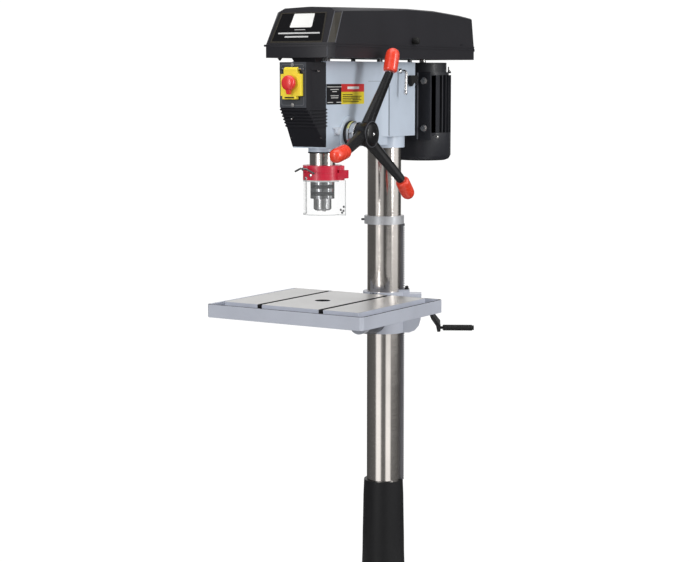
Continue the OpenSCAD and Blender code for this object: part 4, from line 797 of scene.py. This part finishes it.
depth_profile = [(54.6, 17.1), (54.6, 33.4), (55.2, 34), (61, 34), (61.6, 33.4), (61.6, 31),
                 (68.4, 31), (69, 30.4), (69, 17.1)]
depth_ring = lathe(AXLE, RIGHT, depth_profile, steps=96)
piece("depth_look", [depth_ring], HUB, RING_BODY, limit=TURNED, stands_for=["depth_ring"])
depth_band = ring_part(AXLE, RIGHT, 61.7, 68.6, outer=32.2, inner=30)
piece("depth_band", [depth_band], CHROME, RING_BODY, bevel=0.3)
depth_scale = ring_sector(SCALE_LOW, SCALE_HIGH, SCALE_R, *SCALE_SPAN)
piece("depth_scale", [depth_scale], SCALE, RING_BODY)
piece("depth_marks", [depth_mark(k) for k in range(MARK_COUNT)], INK, RING_BODY)

# Belt cover

LID = BODY_OF["belt_lid"]
COVER_FRONT, COVER_CORNER, COVER_REAR = -258, -249, 476
COVER_FLAT, COVER_HALF = 85, 103
COVER_SPLIT = 1605
LID_OUT = (0.9012, 0.4335)
FASCIA_IN, FASCIA_OUT, FRAME_OUT, FRAME_WIDE = -0.3, 0.35, 1.3, 4.6
PRINT_LOW, TILE_OUT, LINES_OUT = 0.2, 0.6, 0.5
LIP_THICK = 0.9
RIDGE_R = 1.1
# Fascia: heights, x at its foot and at its top, and the shares of a growth that its top takes
FASCIA_Z, FASCIA_FOOT, FASCIA_TOP = (1613.5, 1682), (-81, 65), (-71, 57)
GROW_UP, GROW_RIGHT = 0.6, 0.9


def lid_plane(u, v, w):
    """Maps x, height and distance out to the leaning front of the lid."""
    return u, COVER_FRONT + (v - COVER_SPLIT) * LID_LEAN - w * LID_OUT[0], v + w * LID_OUT[1]


def fascia_outline(grow):
    """Outline of the fascia, grown to all sides."""
    low, high = FASCIA_Z[0] - grow, FASCIA_Z[1] + grow * GROW_UP
    foot = [(FASCIA_FOOT[0] - grow, low), (FASCIA_FOOT[1] + grow, low)]
    return foot + [(FASCIA_TOP[1] + grow * GROW_RIGHT, high), (FASCIA_TOP[0] - grow, high)]


# The frame round the fascia is drawn in the painted brown sheen
piece("fascia_frame", [
    sheet(fascia_outline(FRAME_WIDE), [fascia_outline(0)], FASCIA_IN, FRAME_OUT, lid_plane),
], BROWN_SHEEN, LID, bevel=0.5)
fascia = sheet(fascia_outline(0.2), [], FASCIA_IN, FASCIA_OUT, lid_plane)
piece("fascia", [fascia], GLOSS, LID)
tile = [(-36, 1647.5), (24, 1647.5), (27, 1650), (26, 1681), (24, 1682.5), (-32, 1682.5),
        (-34, 1681), (-38.5, 1650)]
piece("fascia_tile", [sheet(tile, [], PRINT_LOW, TILE_OUT, lid_plane)], WHITE, LID)
piece("fascia_lines", [
    sheet([(a, z), (b, z), (b, z + tall), (a, z + tall)], [], PRINT_LOW, LINES_OUT, lid_plane)
    for a, b, z, tall in ((-68, 55, 1631.5, 3.6), (-46, 24, 1622.5, 3.6), (-22, 10, 1641, 1.4))
], PALE, LID)

around = [(-COVER_FLAT, COVER_FRONT), (COVER_FLAT, COVER_FRONT), (COVER_HALF, COVER_CORNER),
          (COVER_HALF, COVER_REAR), (-COVER_HALF, COVER_REAR)]
piece("lid_lip", [ribbon(around, LIP_THICK, 1605.4, 1610)], BLACK, LID, bevel=0.3)
piece("tray_lip", [ribbon(around, LIP_THICK, 1599.6, 1604.7)], BLACK, STAND, bevel=0.3)
# Ridges up both edges of the lid's right front chamfer, in the lighter grey: painted highlights
piece("lid_corner_ridges", [
    bent_rod([(85.6, -257.6, 1609), (82, -218.8, 1685.6)], RIDGE_R, steps=12),
    bent_rod([(103.4, -248.8, 1609), (96.4, -205.6, 1685.6)], RIDGE_R, steps=12),
], SHEEN, LID, limit=70)
piece("lid_corner_sheen", [loft([
    [(85.9, -258.0, 1609), (102.9, -249.4, 1609), (96.2, -206.6, 1684), (82.4, -219.6, 1684)],
    [(85.6, -257.2, 1609), (102.3, -248.8, 1609), (95.8, -205.8, 1684), (82.0, -218.8, 1684)],
])], BROWN_SHEEN, LID)
piece("tray_corner_sheen", [
    slab((83.4, -258.25, 1577), (85.6, -257.6, 1604)),
    slab((85.2, -258.2, 1577), (87.4, -256.6, 1604)),
], SHEEN, STAND)
piece("lid_stop", [
    slab((98.5, 474, 1596), (103.4, 480.5, 1603)),
    slab((-109, -250, 1601), (-102, -244, 1606)),
], BLACK, STAND, bevel=0.8)
piece("lid_slot_mark", [slab((102.6, 398, 1612.6), (103.35, 412, 1615))], INK, LID)
knob_profile = [(0, 6.5), (3, 6.5), (4, 9), (14, 9), (16.6, 8), (18, 5.6), (18.3, 0)]
knob = lathe((102.9, 135, 1620), RIGHT, knob_profile, steps=40)
piece("knob_look", [knob], RUBBER, BODY_OF["lid_knob"], limit=TURNED, stands_for=["lid_knob"])

# Motor and its plate

UNIT = BODY_OF["motor_body"]
MOTOR_AXIS = Vector((0, 367, 0))
FAN_COVER_R = 78.5
piece("motor_feet", [
    slab((x0, 276, 1366), (x1, 303, 1531)) for x0, x1 in ((50, 79), (-79, -50))
], MOTOR_SIDE, UNIT, bevel=1.6)
screw_way = Vector((0.8745, -0.4845, 0))
screw_foot = MOTOR_AXIS + screw_way * FAN_COVER_R + Vector((0, 0, 1361))
cover_screw = lathe(screw_foot, screw_way, [(0, 4.2), (2.2, 4.2), (3.4, 3), (3.8, 0)], steps=20)
piece("fan_cover_screw", [cover_screw], STEEL, UNIT, limit=TURNED)
clip = MOTOR_AXIS + Vector((63, 38, 0))
piece("motor_clip", [
    slab(clip + Vector((-3, -3, 1536)), clip + Vector((5, 3, 1541))),
    slab(clip + Vector((-3, -1.5, 1536)), clip + Vector((-0.5, 1.5, 1554))),
], MOTOR, UNIT, bevel=0.5)
piece("motor_clip_screw", [
    rod(clip + Vector((2.4, 0, 1540)), clip + Vector((2.4, 0, 1545)), 2.4),
], STEEL, UNIT)
# Thin light strips on the motor plate's edge: a painted highlight
piece("plate_edge", [
    slab((42, 262.6, 1357), (42.25, 270.2, 1537)),
    slab((41, 262.8, 1357), (42.2, 263.1, 1537)),
], EDGE_HIGHLIGHT, BODY_OF["motor_plate"])

# Belt tension lever: out of the head, round a bend and down along its side

TENSION = BODY_OF["tension_lever"]
TENSION_Y, TENSION_Z, TENSION_R = 138, 1541, 3.9
BEND_X, BEND_R, BEND_STEPS = 72, 8, 6
DROP_X = BEND_X + BEND_R
DROP_HEIGHTS = (1528, 1516, 1504, 1492, 1481)
FOOT_DROP = 50
lean = math.sin(math.radians(4))
lever_path = [(x, TENSION_Y, TENSION_Z) for x in (24, 60, BEND_X)]
for step in range(1, BEND_STEPS + 1):
    t = math.radians(90 / BEND_STEPS * step)
    z = TENSION_Z - BEND_R + BEND_R * math.cos(t)
    lever_path.append((BEND_X + BEND_R * math.sin(t), TENSION_Y, z))
lever_path += [(DROP_X, TENSION_Y - lean * (TENSION_Z - z), z) for z in DROP_HEIGHTS]
piece("tension_look", [bent_rod(lever_path, TENSION_R)], STEEL, TENSION, limit=60,
      stands_for=["tension_lever"])
foot_start = (DROP_X, TENSION_Y - lean * FOOT_DROP, TENSION_Z - FOOT_DROP)
lever_foot = [(0, TENSION_R), (1, 5.0), (8, 5.2), (11, 4.2), (12.4, 2), (12.6, 0)]
lever_boss = [(0, 7.2), (6, 7.2), (8, 6), (9.4, 4)]
piece("tension_ends", [
    lathe(foot_start, (0, -lean, -1), lever_foot, steps=24),
    lathe((57, TENSION_Y, TENSION_Z), RIGHT, lever_boss, steps=32),
], CHROME, TENSION, limit=TURNED)

# Bar lock: a screw with a three cornered handle

HANDLE_OUTLINE = ((184, 1530), (221, 1530), (224, 1522), (190, 1500))
HANDLE_SPAN = (59, 68.8)
handle = loft([[(x, y, z) for y, z in HANDLE_OUTLINE] for x in HANDLE_SPAN])
lock_screw = rod((42, 190, 1510), (60, 190, 1510), 4)
piece("bar_lock_look", [lock_screw, handle], RUBBER, BODY_OF["bar_lock"], bevel=1.2,
      stands_for=["bar_lock"])

# Chuck guard: T screw in its block, studs, shield edges and rivets

DOOR = BODY_OF["guard_frame"]
SHIELD_R, SHIELD_IN, SHIELD_STEPS = 50.2, 47.7, 48
SHIELD_LOW, SHIELD_HIGH = 1177, 1266
SHIELD_SIDE, SHIELD_REAR = 71.1, -150.1
SCREW_NEAR, SCREW_FAR, SCREW_R = 33.8, 62, 4
# Points of the T bar, aside and up from its middle
BAR_FAR, BAR_R = 59, 2.6
BAR_POINTS = ((-36, -7), (-12, 1.5), (0, 0), (14, 1), (46, -9))
# Rear and front of the block: distance from the spindle and its corners
BLOCK = ((49, ((-9, -10), (9, -10), (8, 9.4), (-8, 9.4))),
         (54.5, ((-8, -8), (8, -8), (7, 8), (-7, 8))))
screw_turn = math.radians(22)
inward = Vector((math.sin(screw_turn), math.cos(screw_turn), 0))
across = Vector((math.cos(screw_turn), -math.sin(screw_turn), 0))
up = Vector(UP)
ring_middle = Vector((0, SPINDLE_Y, 1294))
bar_middle = ring_middle - inward * BAR_FAR
piece("guard_screw_look", [
    rod(ring_middle - inward * SCREW_FAR, ring_middle - inward * SCREW_NEAR, SCREW_R),
    bent_rod([bar_middle + across * a + up * b for a, b in BAR_POINTS], BAR_R, steps=12),
], CHROME, BODY_OF["guard_screw"], limit=TURNED, stands_for=["guard_screw"])
piece("guard_block", [loft([
    [ring_middle - inward * far + across * a + up * b for a, b in corners]
    for far, corners in BLOCK
])], GUARD, BODY_OF["guard_ring"], bevel=1.0)
STUDS = {"guard_stud_a": (-3.5, -197.8, 1278.5), "guard_stud_b": (-19.5, -193.8, 1271)}
stud = [(-2, 4.4), (1.6, 4.4), (2.6, 3.4), (3, 0)]
for name, spot in STUDS.items():
    outward = (Vector(spot) - Vector((0, SPINDLE_Y, spot[2]))).normalized()
    piece(name, [lathe(spot, outward, stud, steps=20)], CHROME, DOOR, limit=TURNED)


def half_ring(low, high, outer, inner):
    """Half round band of the shield, open to the rear."""
    section = [(low, outer), (high, outer), (high, inner), (low, inner)]
    loops = []
    for k in range(SHIELD_STEPS + 1):
        t = math.pi * (1 + k / SHIELD_STEPS)
        loops.append([(r * math.cos(t), SPINDLE_Y + r * math.sin(t), z) for z, r in section])
    return loft(loops)


piece("guard_edge", [
    slab((-50.2, -150.4, SHIELD_LOW), (-47.6, SPINDLE_Y, SHIELD_HIGH)),
    half_ring(SHIELD_LOW, 1179.4, SHIELD_R, SHIELD_IN),
    half_ring(1262, SHIELD_HIGH, 50.1, SHIELD_IN),
    slab((48, SHIELD_REAR, SHIELD_LOW), (SHIELD_SIDE, SPINDLE_Y, 1179.2)),
    slab((69.2, SHIELD_REAR, 1179), (SHIELD_SIDE, SPINDLE_Y, SHIELD_HIGH)),
], CLEAR_EDGE, DOOR)
rivet = [(0, 3), (1, 2.8), (1.6, 1.6), (1.7, 0)]
piece("guard_rivets", [
    lathe((x, -150.3, z), FRONT, rivet, steps=16)
    for x, z in ((61, 1184), (65, 1189), (57, 1191), (66, 1199))
], DARK_STEEL, DOOR, limit=TURNED)

# Chuck sleeve: three polished bands on a dark knurled drum

SLEEVE = BODY_OF["chuck_sleeve"]
SLEEVE_FOOT = (0, SPINDLE_Y, 1218.0)
SLEEVE_R, SLEEVE_BORE = 31.0, 23.6
DRUM_LOW, DRUM_HIGH, DRUM_R = 0.6, 43.4, 29.4
BAND_SPANS, BAND_BORE = ((0, 8.4), (17.6, 26.4), (35.4, 44)), 28.6
KNURL_COUNT = 72
KNURL_ROOT, KNURL_OUT, KNURL_HALF = 29, 1.7, 0.8
KNURL_SPAN = (1.5, 42.5)
knurl = []
for t in angles(KNURL_COUNT):
    outward = Vector((math.cos(t), math.sin(t), 0))
    aside = Vector((-math.sin(t), math.cos(t), 0)) * KNURL_HALF
    root = Vector(SLEEVE_FOOT) + outward * KNURL_ROOT
    corners = (root - aside, root + aside, root + outward * KNURL_OUT)
    knurl.append(loft([[corner + Vector((0, 0, z)) for corner in corners] for z in KNURL_SPAN]))
drum = ring_part(SLEEVE_FOOT, UP, DRUM_LOW, DRUM_HIGH, outer=DRUM_R, inner=SLEEVE_BORE)
piece("sleeve_look", [drum] + knurl, KNURL, SLEEVE, limit=30, stands_for=["chuck_sleeve"])
piece("sleeve_bands", [
    ring_part(SLEEVE_FOOT, UP, low, high, outer=SLEEVE_R, inner=BAND_BORE)
    for low, high in BAND_SPANS
], CHUCK, SLEEVE, bevel=0.7)

# Bracket and crank

cap_profile = [(0, 6), (4, 6), (4.5, 4.6), (9, 4.6), (10.5, 3), (10.8, 0)]
oil_cap = lathe((53.7, 191, 951), UP, cap_profile, steps=24)
piece("oil_cap", [oil_cap], RUBBER, BODY_OF["table_bracket"], limit=TURNED)

CRANK_TURN = math.radians(30)
GRIP_R = 8.2
# Grooves round the grip: spots along it, and the section of one as distance and depth
GROOVE_STARTS = range(-34, 36, 5)
GROOVE = ((0, 0), (0.8, 0.5), (1.6, 0))
grip_low, grip_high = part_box("crank_grip")
grip_spot = Vector(grip_low) * 0.5 / MM + Vector(grip_high) * 0.5 / MM
grip_way = Vector((math.cos(CRANK_TURN), math.sin(CRANK_TURN), 0))
crank_profile = [(-41, 0), (-41, 6.6), (-40, 7.8), (-38, GRIP_R)]
for start in GROOVE_STARTS:
    crank_profile += [(start + along, GRIP_R - deep) for along, deep in GROOVE]
crank_profile += [(38, GRIP_R), (40, 7.8), (41, 6.6), (41, 0)]
crank_grip = lathe(grip_spot, grip_way, crank_profile, steps=40)
piece("crank_grip_look", [crank_grip], RUBBER, BODY_OF["crank_grip"], limit=TURNED,
      stands_for=["crank_grip"])

# Second materials on the copies of CAD nodes; numbers in metres, as the meshes are

TEETH_X = (0.0445, 0.0518)
ARM_FRONT, ARM_TOP = 0.104, 0.93
SLOT_HALF, SLOT_DEEP = 0.0125, 0.021
TABLE_BORE_R = 0.0203
# Shares of a face's normal along Z or X that count as level, leaning or facing aside
LEVEL, LEANING, ASIDE = 0.9, 0.3, 0.5


def rack_slot(polygon):
    """Painted shade on the faces in the gaps between the rack's teeth."""
    normal = polygon.normal
    between = TEETH_X[0] < polygon.center.x < TEETH_X[1]
    return int(between and (abs(normal.z) > LEANING or normal.x > ASIDE))


def bracket_slot(polygon):
    """The arm under the table, in deep shadow in the photo."""
    spot = polygon.center
    return int(spot.y < ARM_FRONT and spot.z < ARM_TOP and polygon.normal.z < LEANING)


def ground_slot(lowest, slot_x, bore):
    """Ground steel for the faces above a height, raw iron inside the slots and the bore."""
    def slot_of(polygon):
        spot = polygon.center
        if polygon.normal.z > LEVEL and spot.z > lowest:
            return 1
        if abs(abs(spot.x) - slot_x) < SLOT_HALF and spot.z > lowest - SLOT_DEEP:
            return 2
        if math.hypot(spot.x, spot.y - SPINDLE_Y * MM) < bore:
            return 2
        return 0
    return slot_of


repaint(soften("rack", 0).data, [TOOTH_SHADE], rack_slot)
repaint(LOOKS["table_bracket"].data, [SHADED], bracket_slot)
table_slot = ground_slot(lowest=0.9535, slot_x=0.092, bore=TABLE_BORE_R)
repaint(LOOKS["table"].data, [GROUND, IRON], table_slot)
repaint(LOOKS["base"].data, [GROUND, IRON], ground_slot(lowest=0.0585, slot_x=0.080, bore=0))

# Floor and lights

FLOOR_R = 0.66
FLOOR_STEPS = 96
floor_mesh = bpy.data.meshes.new("floor")
floor_rim = [(FLOOR_R * math.cos(t), FLOOR_R * math.sin(t), 0) for t in angles(FLOOR_STEPS)]
floor_mesh.from_pydata(floor_rim, [], [tuple(range(FLOOR_STEPS))])
floor = bpy.data.objects.new("floor", floor_mesh)
floor.location.z = BOUNDS_LOW[2]
floor_mesh.materials.append(
    surface("floor_pale", (0.80, 0.80, 0.80), 0.6, grain=30, bump=0.01, shade=0.01, cloud_shade=0.0)
)
bpy.context.scene.collection.objects.link(floor)


def area_light(name, place, aim, size, power, shine=True):
    """Rectangular lamp aimed at a point; without shine it lights but is not reflected."""
    data = bpy.data.lights.new(name, "AREA")
    data.shape = "RECTANGLE"
    data.size, data.size_y = size
    data.energy = power
    obj = bpy.data.objects.new(name, data)
    obj.location = place
    obj.rotation_euler = (Vector(aim) - Vector(place)).to_track_quat("-Z", "Y").to_euler()
    obj.visible_glossy = shine
    bpy.context.scene.collection.objects.link(obj)


AIM = (0, 0, 1.2)
area_light("key", (4.2, 0.1, 2.3), AIM, (0.7, 2.6), 70)
area_light("front", (-0.2, -4.4, 2.2), AIM, (0.6, 2.6), 56)
area_light("corner", (2.6, -3.4, 2.8), AIM, (2.0, 2.0), 22, shine=False)
area_light("left", (-3.4, -2.4, 1.9), (0, 0, 1.15), (1.2, 2.8), 22, shine=False)
area_light("top", (0, -0.4, 4.0), AIM, (2.4, 2.4), 34)
area_light("back", (-1.6, 3.4, 2.2), AIM, (1.6, 2.4), 24, shine=False)

# Studio room: white to the camera, and for light and reflections walls with bright and dark
# stretches, each an angle in degrees round from +X and a brightness. Directions whose Z is above
# WALL_CHANGE see WALL, and the others see WALL_LOW.

WALL = [(-180, 0.20), (-121, 0.18), (-113, 1.5), (-96, 1.1), (-68, 0.8), (-59, 0.10), (-40, 0.10),
        (-32, 0.32), (-12, 0.34), (-3, 1.6), (42, 1.6), (50, 0.12), (90, 0.14), (102, 1.2),
        (146, 1.2), (158, 0.16), (180, 0.20)]
WALL_LOW = [(-180, 0.20), (-117, 0.30), (-109, 2.6), (-82, 2.6), (-74, 0.34), (-49, 0.34),
            (-42, 2.6), (-15, 2.6), (-7, 0.40), (40, 0.24), (90, 0.14), (158, 0.16), (180, 0.20)]
WALL_CHANGE = (-0.142, -0.128)
# The room grows brighter from low directions to high ones
RISE_SPAN, RISE_GLOW = (-0.5, 0.8), (0.35, 1.15)
BACKDROP_GLOW = 1.05
HALF_TURN = 180

world = bpy.data.worlds.new("studio")
world.use_nodes = True
sky = world.node_tree
room = sky.nodes["Background"]
backdrop = add_node(sky, "ShaderNodeBackground", {"Color": (1, 1, 1, 1), "Strength": BACKDROP_GLOW})
way = sky.nodes.new("ShaderNodeTexCoord")
split = sky.nodes.new("ShaderNodeSeparateXYZ")
link(sky, way, "Generated", split, "Vector")
rise = map_range(sky, RISE_SPAN, RISE_GLOW)
link(sky, split, "Z", rise, "Value")
heading = sky.nodes.new("ShaderNodeMath")
heading.operation = "ARCTAN2"
link(sky, split, "Y", heading, 0)
link(sky, split, "X", heading, 1)
around_room = map_range(sky, (-math.pi, math.pi))
link(sky, heading, 0, around_room, "Value")


def wall_ramp(wall):
    """Brightness round the room as a colour ramp."""
    panels = sky.nodes.new("ShaderNodeValToRGB")
    stops = panels.color_ramp.elements
    for k, (angle, glow) in enumerate(wall):
        position = (angle + HALF_TURN) / (2 * HALF_TURN)
        stop = stops[k] if k < 2 else stops.new(position)
        stop.position = position
        stop.color = (glow, glow, glow, 1)
    link(sky, around_room, "Result", panels, "Fac")
    return panels


height = map_range(sky, WALL_CHANGE)
link(sky, split, "Z", height, "Value")
rooms = sky.nodes.new("ShaderNodeMixRGB")
link(sky, height, "Result", rooms, "Fac")
link(sky, wall_ramp(WALL_LOW), "Color", rooms, "Color1")
link(sky, wall_ramp(WALL), "Color", rooms, "Color2")
link(sky, rooms, "Color", room, "Color")
link(sky, rise, "Result", room, "Strength")
ray = sky.nodes.new("ShaderNodeLightPath")
both = sky.nodes.new("ShaderNodeMixShader")
link(sky, ray, "Is Camera Ray", both, "Fac")
link(sky, room, "Background", both, 1)
link(sky, backdrop, "Background", both, 2)
link(sky, both, "Shader", sky.nodes["World Output"], "Surface")
bpy.context.scene.world = world
bpy.context.scene.view_settings.view_transform = "Standard"

# Camera, fitted to the edges of the column, table and belt cover in the photo

camera_data = bpy.data.cameras.new("camera")
camera_data.sensor_width = 36.0
camera_data.lens = 88.87
camera = bpy.data.objects.new("camera", camera_data)
camera.location = (2.3562, -3.7973, 1.524)
camera.rotation_euler = (math.radians(83.19), 0, math.radians(32.09))
bpy.context.scene.collection.objects.link(camera)
bpy.context.scene.camera = camera
